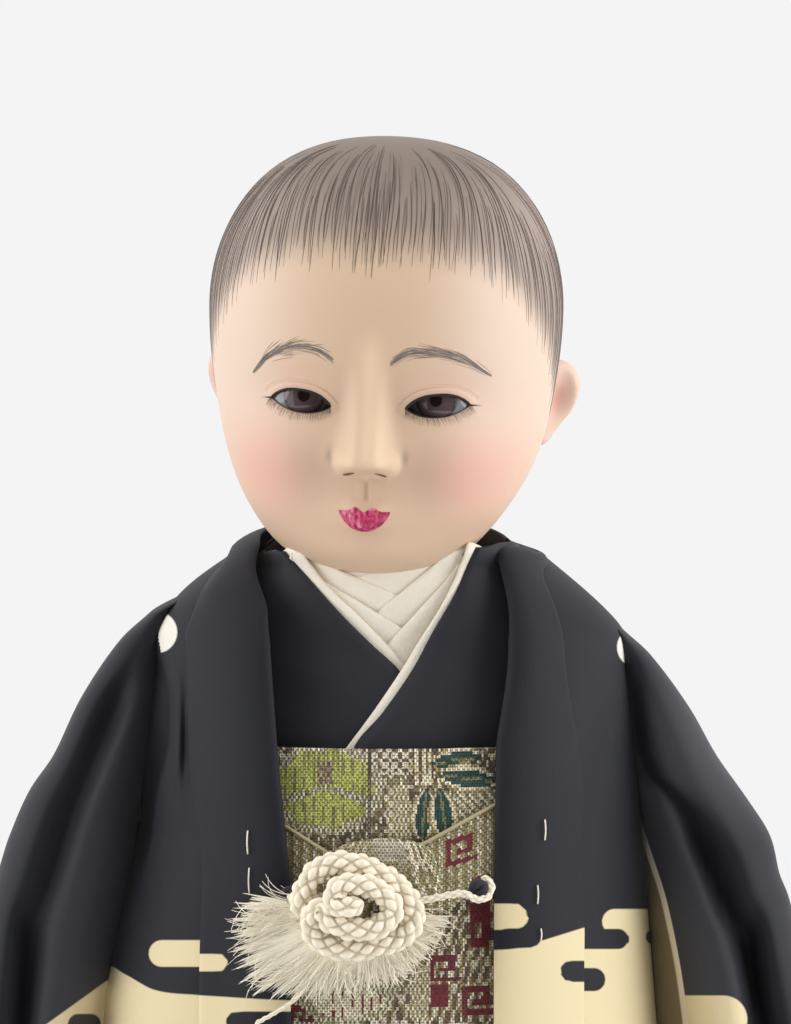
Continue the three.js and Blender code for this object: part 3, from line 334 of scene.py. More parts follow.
def addStage():
    eye = bpy.data.cameras.new("camera")
    eye.sensor_fit = "VERTICAL"
    eye.sensor_height = view["sensor"]
    eye.sensor_width = view["sensor"]
    eye.lens = view["lens"]
    eye.clip_start = 0.05
    camera = bpy.data.objects.new("camera", eye)
    scene.collection.objects.link(camera)
    lift = math.radians(view["elevation"])
    back = Vector((0, -math.cos(lift), math.sin(lift)))
    camera.location = (Vector(view["aim"]) + back * view["distance"]) * 0.001
    camera.rotation_mode = "QUATERNION"
    camera.rotation_quaternion = (-back).to_track_quat("-Z", "Y")
    scene.camera = camera

    world = bpy.data.worlds.new("world")
    world.use_nodes = True
    sky = world.node_tree.nodes["Background"]
    sky.inputs["Color"].default_value = (light["surround"], light["surround"], light["surround"], 1)
    sky.inputs["Strength"].default_value = 1
    scene.world = world
    scene.view_settings.view_transform = "Standard"

    def lamp(name, place, watts, size, mirrored=True):
        data = bpy.data.lights.new(name, "AREA")
        data.energy = watts
        data.shape = "DISK"
        data.size = size
        made = bpy.data.objects.new(name, data)
        scene.collection.objects.link(made)
        made.location = place
        made.visible_glossy = mirrored
        made.rotation_mode = "QUATERNION"
        made.rotation_quaternion = (Vector(light["aim"]) - Vector(place)).to_track_quat("-Z", "Y")

    lamp("left_lamp", (-0.8, -0.2, 0.45), light["leftWatts"], light["sideSize"])
    lamp("right_lamp", (0.8, -0.2, 0.45), light["rightWatts"], light["sideSize"])
    lamp("top_lamp", (-0.1, -0.1, 1.1), light["topWatts"], light["sideSize"])
    lamp("front_lamp", (0.05, -0.9, 0.16), light["frontWatts"], light["frontSize"], False)

    # A dark card behind the camera, which the camera itself doesn't see, takes away the light from the front.
    half, away = light["cardHalf"], -light["cardAway"]
    mesh = bpy.data.meshes.new("dark_card")
    low, high = light["cardHeight"] - half, light["cardHeight"] + half
    corners = [(-half, away, low), (half, away, low), (half, away, high), (-half, away, high)]
    mesh.from_pydata(corners, [], [(0, 1, 2, 3)])
    mesh.materials.append(newMaterial("card_black", (0.02, 0.02, 0.02), 0.9, specular=0.0))
    card = bpy.data.objects.new("dark_card", mesh)
    scene.collection.objects.link(card)
    card.visible_camera = False

    turn = np.linspace(0, 2 * math.pi, 97)[:-1]
    ring = light["floorRadius"] * np.stack([np.cos(turn), np.sin(turn), np.zeros(96)], 1)
    mesh = bpy.data.meshes.new("floor")
    mesh.from_pydata(ring.tolist(), [], [list(range(96))])
    mesh.materials.append(newMaterial("floor_paint", (0.8, 0.8, 0.8), 0.9, specular=0.1))
    floor = bpy.data.objects.new("floor", mesh)
    scene.collection.objects.link(floor)


addStage()
print("stage made")


# Head: a smooth skull with the features of the face raised on its front

head = {
    "centre": (-1.0, -4.0, 360.0),
    "pitch": 8.0,
    "yaw": -5.6,
    "roll": 2.0,
    "halfWidth": 36.6,
    "templeHeight": 10.0,
    "crownHeight": 45.0,
    "chinDrop": 42.5,
    "faceDepth": 36.5,
    "backDepth": 40.0,
    "jawSlope": 0.56,
    "jawReach": 18.0,
    "eyeSpacing": 27.3,
    "eyeHeight": -4.4,
    "noseProjection": 6.3,
    "skin": (0.668, 0.488, 0.342),
    "pale": (0.715, 0.56, 0.457),
    "blush": (0.69, 0.325, 0.27),
    "hair": (0.27, 0.215, 0.188),
}
headMatrix = turnAbout(2, head["yaw"]) @ turnAbout(0, head["pitch"]) @ turnAbout(1, head["roll"])
headMiddle = np.array(head["centre"])


# From the head's own frame, with the face to -Y, to the doll's.
def fromHead(local):
    return np.asarray(local) @ headMatrix.T + headMiddle


# Height of the features in front of the plain head at (x, z): nose and its wings, sockets, lids, lips, chin and cheeks.
def faceRelief(x, z):
    across = np.abs(x)
    aside = np.sqrt(x * x + 16)
    fromEye = aside - math.hypot(head["eyeSpacing"] / 2, 4)
    aboveEye = z - head["eyeHeight"]
    along = np.clip((4.7 - z) / 19, 0, 1)
    ridge = (0.12 * (1 - smooth(z, 0, 13)) + 0.88 * along**1.4) / (1 + (x / (3.5 + 0.9 * along)) ** 4)
    ridge = ridge * smooth(z, -19.4, -15.6)
    wing = 3.2 * np.clip(1 - ((across - 4.2) / 2.8) ** 2 - ((z + 15.9) / 3.2) ** 2, 0, None) ** 0.55
    nose = ((head["noseProjection"] * ridge) ** 3 + wing**3) ** (1 / 3)
    socket = -2.4 * bell(fromEye, 9.5) * bell(aboveEye, 5)
    lids = 2.0 * bell(fromEye, 6.8) * bell(aboveEye + 0.4, 4)
    mouth = 2.0 * bell(x, 10) * bell(z + 28, 6.5)
    upperLip = 0.9 * bell(np.sqrt(x * x + 1) - 1.9, 2.6) * bell(z + 25.2, 1.3)
    lowerLip = 1.3 * bell(x, 3.8) * bell(z + 28.3, 1.8)
    groove = 0.22 * bell(across - 1.25, 0.6) - 0.5 * bell(x, 0.75)
    groove = groove * smooth(z, -24.6, -23.2) * (1 - smooth(z, -20.4, -19.4))
    chin = 2.2 * bell(x, 9) * bell(z + 37, 4.5)
    cheek = 2.4 * bell(aside - 20.4, 11) * bell(z + 18, 11)
    return nose + socket + lids + mouth + upperLip + lowerLip + groove + chin + cheek


# Powers that pull the round skull into wide jaws and a flat face below the temples.
def headPowers(up):
    lower = smooth(-up, 0.15, 0.75)
    return mix(0.8, 0.48, lower), mix(0.95, 0.28, lower), mix(0.85, 1.15, lower)


# How far the skull reaches above or below the temples.
def headRise(above):
    return np.where(above, head["crownHeight"] - head["templeHeight"], head["chinDrop"] + head["templeHeight"])


# The skin: angle 0 is the front, polar 0 the crown and polar pi the underside.
def headSkin(angle, polar):
    up, ring, forward = np.cos(polar), np.sin(polar), np.cos(angle)
    ring = np.maximum(ring, 1e-9)
    wide, front, rear = headPowers(up)
    depth = np.where(forward > 0, head["faceDepth"] * ring**front, head["backDepth"] * ring**rear)
    x = head["halfWidth"] * ring**wide * np.sin(angle)
    z = head["templeHeight"] + headRise(up > 0) * up
    shown = smooth(forward, 0.1, 0.55) * smooth(ring, 0.25, 0.6)
    y = -depth * forward - shown * faceRelief(x, z)
    behindJaw = np.clip(y + head["jawReach"], 0, 1.7 * head["jawReach"])
    z = z + head["jawSlope"] * smooth(-up, 0.4, 1) * behindJaw
    return np.stack([x, y, z], -1)


# The same skin at (x, z) of the face.
def face(x, z):
    x, z = np.asarray(x, float), np.asarray(z, float)
    fall = z - head["templeHeight"]
    up = np.clip(fall / headRise(fall > 0), -0.999, 0.999)
    ring = np.sqrt(1 - up * up)
    wide = headPowers(up)[0]
    angle = np.arcsin(np.clip(x / (head["halfWidth"] * ring**wide), -1, 1))
    return headSkin(angle, np.arccos(up))


# Outward direction of the face at (x, z), from small steps along it.
def faceNormal(x, z):
    step = 0.3
    du = face(x + step, z) - face(x - step, z)
    dv = face(x, z + step) - face(x, z - step)
    n = np.cross(du, dv)
    n /= np.linalg.norm(n, axis=-1, keepdims=True)
    return np.where(n[..., 1:2] > 0, -n, n)


# Height of the painted hair's edge, by the angle from the front.
hairlineAt = through(
    [(0, 24), (25, 23.2), (37, 21), (50, 16.5), (60, 10), (70, 3), (80, -5), (100, -13), (130, -22), (180, -27)]
)


# Colour of the painted skin: pale at the sides, blush on the cheeks and lids, painted light on the nose and chin,
# painted shade in the hollows, beside the nose and along the jaw, and hair sprayed on with a soft edge.
def skinTone(local, angle):
    x, z = local[..., 0], local[..., 2]
    front = smooth(-local[..., 1], 2, 14)
    tone = np.broadcast_to(np.array(head["skin"]), local.shape).copy()
    blush = 0.6 * bell(np.hypot(np.abs(x) - 21.5, (z + 19.5) * 0.95), 9.5) * front
    warm = 0.22 * bell(np.hypot((np.abs(x) - 14) * 0.7, z - 1), 5) * front
    warm = warm + 0.35 * bell(x, 5) * bell(z + 28, 4) * front
    pale = smooth(np.abs(x + 1), 9, 27) * smooth(z, -34, -8)
    tone = mix(tone, np.array(head["pale"]), (0.85 * pale)[..., None])
    amount = np.clip(blush + warm, 0, 1)[..., None]
    tone = mix(tone, np.array(head["blush"]), amount)
    aside = np.sqrt(x * x + 9)
    # Painted light and shade: crest is painted highlight on nose and chin; sunk, flank and crease are painted shade.
    sunk = 0.13 * bell(aside - 12.5, 5) * bell(z + 19, 7) + 0.12 * smooth(aside, 12, 26) * smooth(-z, 24, 34)
    crest = 0.24 * bell(x - 0.7, 2.3) * smooth(z, -18, -14) * (1 - smooth(z, 4, 14))
    crest = crest + 0.1 * bell(x, 9) * bell(z + 37, 5) + 0.1 * bell(np.hypot(aside - 5.4, z + 15.6), 1.8)
    flank = 0.13 * bell(aside - 6.4, 2.2) * bell(z + 4, 8)
    crease = 0.3 * bell(np.hypot((aside - 8.3) * 1.5, (z + 14.8) * 0.6), 1.0)
    tone = tone * (1 + (crest - sunk - flank - crease) * front)[..., None]
    fringe = hairlineAt(np.degrees(np.abs(angle)))
    edge = 0.9 * ripple(np.degrees(angle), z * 0.3, 14, 2)
    sprayed = (0.86 * smooth(z - fringe + edge, -1.5, 9.5))[..., None]
    crown = mix(1.0, 0.55, smooth(z, head["crownHeight"] - 15, head["crownHeight"] - 2))[..., None]
    return mix(tone, np.array(head["hair"]) * crown, sprayed)


eyeForm = {
    "middle": 13.8,
    "half": 6.35,
    "level": -4.65,
    "rise": 2.75,
    "drop": 2.15,
    "lidWidth": 3.4,
    "underWidth": 1.9,
    "creaseTone": (0.42, 0.2, 0.15),
    "insideShade": (0.06, 0.04, 0.04),
}


# The eye's almond outline, from turn 0 at the outer corner over the upper lid to the inner corner and back below.
def almond(side, turn):
    s = np.cos(turn)
    upper = np.sin(turn) >= 0
    bow = np.where(
        upper,
        eyeForm["rise"] * (1 - np.abs(s) ** 2.5) ** 0.85,
        -eyeForm["drop"] * (1 - np.abs(s) ** 2.1) ** 0.8,
    )
    x = side * (eyeForm["middle"] + eyeForm["half"] * s)
    return x, eyeForm["level"] + bow + 0.25 * s


# How far (x, z) lies outside the almond, as a share of its size (below 1 is inside).
def almondShare(x, z):
    s = (np.abs(x) - eyeForm["middle"]) / eyeForm["half"]
    t = z - eyeForm["level"] - 0.25 * s
    reach = np.where(t > 0, eyeForm["rise"], eyeForm["drop"])
    return np.sqrt(s**2 + (t / reach) ** 2)


earForm = {
    "half": (6.2, 2.6, 9.2),
    "place": (33.8, 8.0, -10.2),
    "hollow": 2.4,
    "rim": 0.5,
    "lean": -10,
    "roll": 11,
    "flare": {1: 36, -1: 64},
    "grid": (48, 25),
}


# An ear: a flat oval, broad above and narrow at the lobe, hollowed in front behind its rolled rim.
def ear(side):
    u, v = grid(*earForm["grid"])
    turn, rise = u * 2 * math.pi, -np.cos(v * math.pi)
    width = np.clip(1 - np.abs(rise) ** mix(2, 3.2, smooth(rise, -0.2, 0.4)), 0, 1) ** 0.5
    width = width * mix(0.55, 1.12, smooth(rise, -0.9, 0.5))
    out, deep = np.cos(turn) * width, np.sin(turn) * width
    hollow = bell(np.hypot((out - 0.15) * 1.15, rise - 0.12), 0.5) * (deep < 0)
    rim = earForm["rim"] * bell(np.hypot(out, rise * 0.95) - 0.85, 0.14) * (deep < 0)
    halfX, halfY, halfZ = earForm["half"]
    local = np.stack([side * out * halfX, deep * halfY + earForm["hollow"] * hollow - rim, rise * halfZ], -1)
    turned = turnAbout(0, earForm["lean"]) @ turnAbout(1, side * earForm["roll"])
    turned = turned @ turnAbout(2, side * earForm["flare"][side])
    local = local @ turned.T + np.array(earForm["place"]) * [side, 1, 1]
    tone = np.broadcast_to(np.array(head["pale"]), local.shape)
    pink = (0.6 * np.clip(hollow, 0, 1) + 0.12)[..., None]
    return local, mix(tone, np.array(head["blush"]), pink)


neckForm = {"sides": 64, "profile": [(9, 299.5), (10, 301.5), (10, 318), (10.5, 323), (11.5, 332), (12.5, 348)]}


# The head in one skin: the skull with two eye openings, the ears, and the neck turned from its profile.
def addHead():
    around, down = 320, 250
    turn = np.arange(around) / around * 2 * math.pi
    angle = (turn - 0.45 * np.sin(turn))[:, None] + np.zeros(down)
    polar = np.linspace(0.004, math.pi - 0.004, down)[None, :] + np.zeros((around, 1))
    local = headSkin(angle, polar)
    swing = (angle + math.pi) % (2 * math.pi) - math.pi
    tones = skinTone(local, swing)
    faces = gridFaces(around, down, True)
    opening = (almondShare(local[..., 0], local[..., 2]) < 1.12) & (local[..., 1] < -10)
    faces = faces[~opening.reshape(-1)[faces].any(1)]
    points, toneRows, groups = [local.reshape(-1, 3)], [tones.reshape(-1, 3)], [faces]
    caps = [np.arange(around) * down, np.arange(around) * down + down - 1]
    groups.append(np.stack([caps[0][::-1], caps[1]]))
    count = around * down

    for side in (1, -1):
        form, tone = ear(side)
        points.append(form.reshape(-1, 3))
        toneRows.append(tone.reshape(-1, 3))
        made = facingOut(points[-1], [gridFaces(*earForm["grid"])], points[-1].mean(0))[0]
        groups.append(made + count)
        count += len(points[-1])

    world = [fromHead(p) for p in points]
    sides, rows = neckForm["sides"], len(neckForm["profile"])
    turn = (np.arange(sides) / sides * 2 * math.pi)[:, None]
    radius, height = np.array(neckForm["profile"]).T
    neck = np.stack([radius * np.cos(turn), radius * np.sin(turn), height + 0 * turn], -1).reshape(-1, 3)
    world.append(neck)
    toneRows.append(np.broadcast_to(np.array(head["skin"]), neck.shape))
    made = facingOut(neck, [gridFaces(sides, rows, True)], neck * [0, 0, 1])[0]
    groups.append(made + count)
    groups.append((np.arange(sides)[::-1] * rows + count)[None])
    points, tones = np.concatenate(world), np.concatenate(toneRows)
    piece = addPiece("painted_head", points, groups, skinPaint, "head", headMiddle, tones=tones)
    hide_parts("head")


# A lid: a strip round the eye opening that rolls in over the glass eye and fades into the skin outside, creased above.
def addLids():
    around = 180
    turn = np.linspace(0, 2 * math.pi, around + 1)[:-1]
    steps = np.concatenate([[-1.0, -0.55, -0.2, -0.06], np.linspace(0, 1, 22)])
    for side, name in ((1, "left"), (-1, "right")):
        x, z = almond(side, turn)
        nx, nz = np.gradient(np.r_[z, z[:3]])[:around], -np.gradient(np.r_[x, x[:3]])[:around]
        length = np.hypot(nx, nz) + 1e-9
        nx, nz = nx / length, nz / length
        away = np.sign((nx * (x - side * eyeForm["middle"]) + nz * (z - eyeForm["level"])).mean())
        nx, nz = nx * away, nz * away
        upper = smooth(np.sin(turn), -0.25, 0.35)
        width = mix(eyeForm["underWidth"], eyeForm["lidWidth"], upper)
        spread = np.clip(steps, 0, None)[None, :] * width[:, None]
        px, pz = x[:, None] + nx[:, None] * spread, z[:, None] + nz[:, None] * spread
        skin = face(px, pz)
        crease = bell(spread - 1.75, 0.26) * upper[:, None] * smooth(np.sin(turn), 0.02, 0.3)[:, None]
        lift = 0.42 * (1 - smooth(steps, 0.02, 0.85)) - 0.1 * smooth(steps, 0.8, 1)
        inward = np.clip(-steps, 0, None)
        push = lift[None, :] - 0.22 * crease - (3.2 * inward**1.2)[None, :]
        skin[..., 1] -= push
        swing = np.arctan2(skin[..., 0], -skin[..., 1])
        tones = skinTone(skin, swing)
        rose = (0.55 * crease + 0.12 * (steps < 0.25) * upper[:, None])[..., None]
        tones = mix(tones, np.array(eyeForm["creaseTone"]), rose)
        # The lid's inward roll is painted dark, the shade inside the eye opening.
        dark = smooth(-steps, 0.1, 0.4)[None, :, None]
        tones = mix(tones, np.array(eyeForm["insideShade"]), dark)
        points = fromHead(skin.reshape(-1, 3))
        faces = gridFaces(around, len(steps), True)
        piece = addPiece(name + "_lids", points, [faces], skinPaint, "head", headMiddle, tones=tones)


eyeGlass = {
    "half": (8.3, 7.4, 8.0),
    "aside": 13.65,
    "sunk": 1.1,
    "pupilAside": 13.4,
    "pupilHeight": -3.3,
    "pupil": (0.018, 0.008, 0.009),
    "iris": (0.1, 0.066, 0.07),
    "rim": (0.03, 0.022, 0.026),
    "shadedWhite": (0.15, 0.15, 0.16),
}
eyePaint = newMaterial("eye_glass", (0.1, 0.08, 0.08), 0.1, specular=0.5)
useTones(eyePaint)
shaderOf(eyePaint).inputs["Coat Weight"].default_value = 0.6


# A glass eye: a ball flattened in front, with pupil, iris, dark rim and white by the distance from its middle; the
# white is painted dark grey as the shade of the lids over it.
def addEyes():
    u, v = grid(129, 97)
    for side, name in ((1, "left"), (-1, "right")):
        turn, fall = u * 2 * math.pi, v * math.pi
        lid = face(np.array(side * eyeGlass["aside"]), np.array(head["eyeHeight"]))[1]
        halfX, halfY, halfZ = eyeGlass["half"]
        form = [np.sin(fall) * np.cos(turn) * halfX, -np.cos(fall) * halfY, np.sin(fall) * np.sin(turn) * halfZ]
        place = [side * eyeGlass["aside"], lid + eyeGlass["sunk"] + halfY, head["eyeHeight"]]
        local = np.stack(form, -1) + np.array(place)
        dx, dz = local[..., 0] - side * eyeGlass["pupilAside"], local[..., 2] - eyeGlass["pupilHeight"]
        behind = local[..., 1] > lid + 7
        reach = np.where(behind, 9.0, np.hypot(dx, dz))
        streak = 1 + 0.09 * np.sin(np.arctan2(dz, dx) * 23)
        tones = np.array(eyeGlass["pupil"]) + np.zeros(local.shape)
        iris = np.array(eyeGlass["iris"]) * streak[..., None]
        tones = mix(tones, iris, smooth(reach, 1.15, 1.45)[..., None])
        tones = mix(tones, np.array(eyeGlass["rim"]), (0.85 * smooth(reach, 3.5, 4.0))[..., None])
        # The white is painted dark grey: painted shade from the lids.
        tones = mix(tones, np.array(eyeGlass["shadedWhite"]), smooth(reach, 4.15, 4.4)[..., None])
        points = fromHead(local.reshape(-1, 3))
        faces = gridFaces(*u.shape)
        piece = addPiece(name + "_glass_eye", points, [faces], eyePaint, "head", points.mean(0), tones=tones)
        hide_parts(name + "_eye")


# Lips: a glossy patch a little proud of the skin, bowed above and round below.
lipForm = {
    "middle": -0.3,
    "half": 5.3,
    "corner": -25.9,
    "peak": 0.95,
    "drop": 4.35,
    # Streak colours from dark red to pale pink; the pale pink is a painted highlight.
    "redsAndHighlights": [
        (0.36, (0.2, 0.01, 0.045)), (0.5, (0.5, 0.035, 0.12)), (0.6, (0.6, 0.08, 0.18)), (0.72, (0.74, 0.3, 0.38)),
    ],
}


def addLips():
    u, v = grid(81, 41)
    s = 2 * u - 1
    top = lipForm["corner"] + lipForm["peak"] * bell(np.abs(s) - 0.33, 0.24) - 0.2 * bell(s, 0.12)
    low = lipForm["corner"] - 0.02 - lipForm["drop"] * np.clip(1 - s**2, 0, 1) ** 0.72
    x = lipForm["middle"] + lipForm["half"] * s
    z = mix(top, low, v)
    skin = face(x, z)
    swell = 0.3 * np.clip(np.sin(v * math.pi) * np.sin(u * math.pi), 0, 1) ** 0.35 - 0.03
    swell = swell - 0.16 * bell(v - 0.3 - 0.08 * bell(s, 0.3), 0.07) * np.sin(u * math.pi)
    cracks = 0.07 * ripple(x, z, 1.1, 4) * np.sin(v * math.pi)
    local = skin + faceNormal(x, z) * (swell + cracks)[..., None]
    points = fromHead(local.reshape(-1, 3))
    piece = addPiece("lips", points, [gridFaces(*u.shape)], lipPaint, "head", headMiddle)


# The lips' red runs in fine upright streaks from dark to pale; the pale streaks are painted highlights of the gloss.
def paintLips():
    place = node(lipPaint, "ShaderNodeTexCoord")
    noise = node(lipPaint, "ShaderNodeTexNoise")
    noise.inputs["Scale"].default_value = 1200
    noise.inputs["Detail"].default_value = 3
    ramp = node(lipPaint, "ShaderNodeValToRGB")
    for position, colour in lipForm["redsAndHighlights"]:
        stop = ramp.color_ramp.elements.new(position)
        stop.color = (*colour, 1)
    ramp.color_ramp.elements.remove(ramp.color_ramp.elements[0])
    ramp.color_ramp.elements.remove(ramp.color_ramp.elements[-1])
    stretch = node(lipPaint, "ShaderNodeVectorMath", operation="MULTIPLY")
    stretch.inputs[1].default_value = (1, 1, 0.45)
    link(lipPaint, place.outputs["Object"], stretch.inputs[0])
    link(lipPaint, stretch.outputs["Vector"], noise.inputs["Vector"])
    link(lipPaint, noise.outputs["Fac"], ramp.inputs["Fac"])
    link(lipPaint, ramp.outputs["Color"], shaderOf(lipPaint).inputs["Base Color"])


# Nostrils: two small dark slits drawn on the skin under the nose, painted shade in place of the nostril pits.
nostrilForm = {"half": (1.25, 0.36), "height": -18.15, "tone": (0.2, 0.09, 0.06)}


def addNostrils():
    around = 24
    turn = np.linspace(0, 2 * math.pi, around + 1)[:-1]
    reach = np.array([0.02, 0.5, 1.0])
    halfX, halfZ = nostrilForm["half"]
    for x0, tilt, name in ((-3.5, 0.25, "right"), (3.0, -0.25, "left")):
        dx = np.cos(turn)[:, None] * halfX * reach
        dz = np.sin(turn)[:, None] * halfZ * reach
        x, z = x0 + dx, nostrilForm["height"] + dz + tilt * dx
        local = face(x, z) + faceNormal(x, z) * (0.06 - 0.05 * reach**4)[None, :, None]
        tones = np.array(nostrilForm["tone"]) + np.zeros(local.shape)
        points = fromHead(local.reshape(-1, 3))
        groups = [gridFaces(around, len(reach), True), (np.arange(around) * len(reach))[None]]
        addPiece(name + "_nostril", points, groups, strokePaint, "head", headMiddle, tones=tones)


# Painted strokes: thin bars along paths in the head's own frame, one shade for each.
def addStrokes(name, local, radius, shade, sides=4):
    points, groups = bars(fromHead(local), radius, sides)
    tones = np.repeat(shade, len(points) // len(shade), axis=0)
    piece = addPiece(name, points, groups, strokePaint, "head", headMiddle, tones=tones)


# Hair strokes: fine dark lines combed down from the crown to the fringe, upright in front, thick in the middle and
# fine at the tip.
hairForm = {
    "strokes": 310,
    "colour": (0.112, 0.092, 0.083),
    "sideColour": (0.2, 0.16, 0.145),
    "thick": 0.118,
    "spread": 0.5,
    "proud": 1.0008,
}


def addHair():
    count, steps = hairForm["strokes"], 22
    lane = (np.arange(count) + random.uniform(-0.45, 0.45, count)) / count
    lean = 2 * lane - 1
    angle = math.pi * np.sign(lean) * np.abs(lean) ** 1.25
    bold = random.uniform(0, 1, count) ** 2.2
    fringe = hairlineAt(np.degrees(np.abs(angle))) - random.uniform(-5.0, 3.2, count) * mix(0.8, 1.0, bold)
    fall = fringe - head["templeHeight"]
    end = np.arccos(np.clip(fall / headRise(fall > 0), -1, 1))
    start = end * random.uniform(0.2, 0.74, count) ** mix(1.0, 1.4, bold)
    t = np.linspace(0, 1, steps)
    polar = start[:, None] + (end - start)[:, None] * t
    drift = random.uniform(-0.014, 0.014, count)[:, None] * t
    drift = drift + 0.006 * np.sin(5 * t + random.uniform(0, 6, count)[:, None])
    combed = hairForm["spread"] * (1 - smooth(np.abs(angle), 0.35, 1.5))[:, None]
    rest = np.sin(end)[:, None] / np.sin(polar) - 1
    swing = angle[:, None] * (1 + combed * (1 - np.exp(-rest / 0.6))) + drift
    local = headSkin(swing, polar) * hairForm["proud"]
    radius = hairForm["thick"] * mix(0.32, 1.0, bold)[:, None] * np.sin(math.pi * t**0.8) ** 0.7 + 0.012
    aside = smooth(np.abs(angle), 0.35, 1.1)
    shade = np.array(hairForm["colour"]) * random.uniform(0.75, 1.9, (count, 1)) ** mix(1.5, 0.6, bold)[:, None]
    shade = mix(shade, np.array(hairForm["sideColour"]), (0.75 * aside)[:, None])
    addStrokes("hair_strokes", local, radius, shade)


browForm = {"strokes": 210, "scatter": 0.62, "colour": (0.19, 0.165, 0.15)}
browLines = {
    "right": [(-7.0, 4.9), (-10.7, 6.8), (-15.3, 6.9), (-20.8, 4.2), (-24.4, 0.1)],
    "left": [(4.4, 4.6), (7.9, 6.8), (12.2, 7.1), (18.5, 5.4), (24.2, 1.4)],
}


# Brows: many fine strokes that follow an arched line and thin out at both ends.
def addBrows():
    count, steps = browForm["strokes"], 12
    for name, line in browLines.items():
        arch = curveThrough(line)
        start = np.linspace(-0.03, 0.86, count) + random.uniform(-0.03, 0.03, count)
        long = random.uniform(0.1, 0.26, count)
        t = np.linspace(0, 1, steps)
        s = np.clip(start[:, None] + long[:, None] * t, 0, 1)
        base = arch(s)
        body = np.sin(np.clip(start + long / 2, 0.02, 0.98) * math.pi) ** 0.5
        off = random.normal(0, browForm["scatter"], count) * body
        across = off[:, None] * mix(1.2, 0.7, t) + (0.35 * (1 - t) - 0.15)[None] * body[:, None]
        x, z = base[..., 0], base[..., 1] + across
        local = face(x, z) + faceNormal(x, z) * 0.015
        radius = random.uniform(0.018, 0.05, count)[:, None] * np.sin(math.pi * t**0.85) ** 0.7 + 0.006
        shade = np.array(browForm["colour"]) * random.uniform(0.7, 1.7, (count, 1))
        addStrokes(name + "_brow", local, radius, shade)


# Lashes: a dark line on the upper lid's edge that runs out past the outer corner, and fine strokes below the eye.
lashForm = {
    "lineThick": 0.27,
    "lineTone": (0.03, 0.022, 0.022),
    "tail": 2.3,
    "lower": 62,
    "lowerThick": 0.05,
    "lowerTone": (0.13, 0.09, 0.075),
}


def addLashes():
    for side, name in ((1, "left"), (-1, "right")):
        turn = np.linspace(math.pi, -0.02, 70)
        x, z = almond(side, turn)
        tail = np.linspace(0, 1, 10)[1:]
        x = np.r_[x, x[-1] + side * lashForm["tail"] * tail]
        z = np.r_[z, z[-1] - 0.1 * tail - 0.25 * tail**2]
        local = face(x, z) + np.array([0, -0.42, 0])
        t = np.linspace(0, 1, len(x))
        thick = lashForm["lineThick"] * smooth(t, 0, 0.12) * (1 - smooth(t, 0.84, 1.0)) + 0.02
        addStrokes(name + "_lid_line", local[None], thick[None], np.array([lashForm["lineTone"]]), 6)

        count, steps = lashForm["lower"], 8
        place = np.linspace(1.03, 1.95, count) + random.uniform(-0.012, 0.012, count)
        x, z = almond(side, math.pi * place)
        t = np.linspace(0, 1, steps)
        s = (np.abs(x) - eyeForm["middle"]) / eyeForm["half"]
        long = random.uniform(1.2, 2.6, count)
        dx = side * (0.35 * s + 0.25) * long
        gone = (t**1.1)[None]
        px = x[:, None] + dx[:, None] * gone + side * 0.12 * np.sin(2 * t)[None]
        pz = z[:, None] + 0.1 - 0.8 * long[:, None] * gone
        local = face(px, pz) + faceNormal(px, pz) * (0.5 * (1 - gone**2) + 0.03)[..., None]
        radius = lashForm["lowerThick"] * (1 - 0.8 * t)[None] + np.zeros((count, 1))
        shade = np.array(lashForm["lowerTone"]) * random.uniform(0.7, 1.6, (count, 1))
        addStrokes(name + "_lower_lashes", local, radius, shade, 3)


addHead()
addLids()
addEyes()
addLips()
paintLips()
addNostrils()
addHair()
addBrows()
addLashes()
print("head made")


# Dressed body: every garment lies on this outline, set in by the layers over it

halfWidthAt = through([(0, 69), (120, 62), (200, 57.5), (270, 52), (295, 50.2), (304, 47.5), (323, 26)])
halfDepthAt = through([(0, 55), (120, 46), (270, 39.5), (304, 32.5), (323, 27)])


# A point of the outline at an angle from the front and a height, set in by a depth.
def onBody(angle, z, inset):
    wide, deep = halfWidthAt(z) - inset, halfDepthAt(z) - inset
    return np.stack([wide * np.sin(angle), -deep * np.cos(angle), z + 0 * angle], -1)


# The angle from the front at which x lies on it.
def angleAt(x, z, inset):
    return np.arcsin(np.clip(x / (halfWidthAt(z) - inset), -1, 1))


# The picture plane: millimetres across and up as the camera sees them, which is how places on the front are given.
plane = {
    "scale": 0.207,
    "middle": 390.0,
    "top": 138.0,
    "height": 405.0,
    "pixels": 1024.0,
    "across": 395.5,
    "down": 512.0,
}
viewReach = view["lens"] / view["sensor"] * plane["pixels"]
viewTilt = math.radians(view["elevation"])


# The true (x, z) of what shows at (x, z) of the picture plane and lies at depth y.
def fromSeen(x, z, y):
    reach, c, s = viewReach, math.cos(viewTilt), math.sin(viewTilt)
    right = (plane["middle"] + np.asarray(x, float) / plane["scale"] - plane["across"]) / reach
    up = (plane["down"] - plane["top"] - (plane["height"] - np.asarray(z, float)) / plane["scale"]) / reach
    near = y - view["aim"][1]
    rise = (up * (view["distance"] + c * near) - s * near) / (c + s * up)
    depth = view["distance"] + c * near - s * rise
    return view["aim"][0] + right * depth, view["aim"][2] + rise


# Where a point shows in the picture plane.
def asSeen(points):
    reach, c, s = viewReach, math.cos(viewTilt), math.sin(viewTilt)
    d = points - np.array(view["aim"])
    depth = view["distance"] + c * d[..., 1] - s * d[..., 2]
    across = plane["across"] + reach * d[..., 0] / depth
    down = plane["down"] - reach * (s * d[..., 1] + c * d[..., 2]) / depth
    return (across - plane["middle"]) * plane["scale"], plane["height"] - (down - plane["top"]) * plane["scale"]


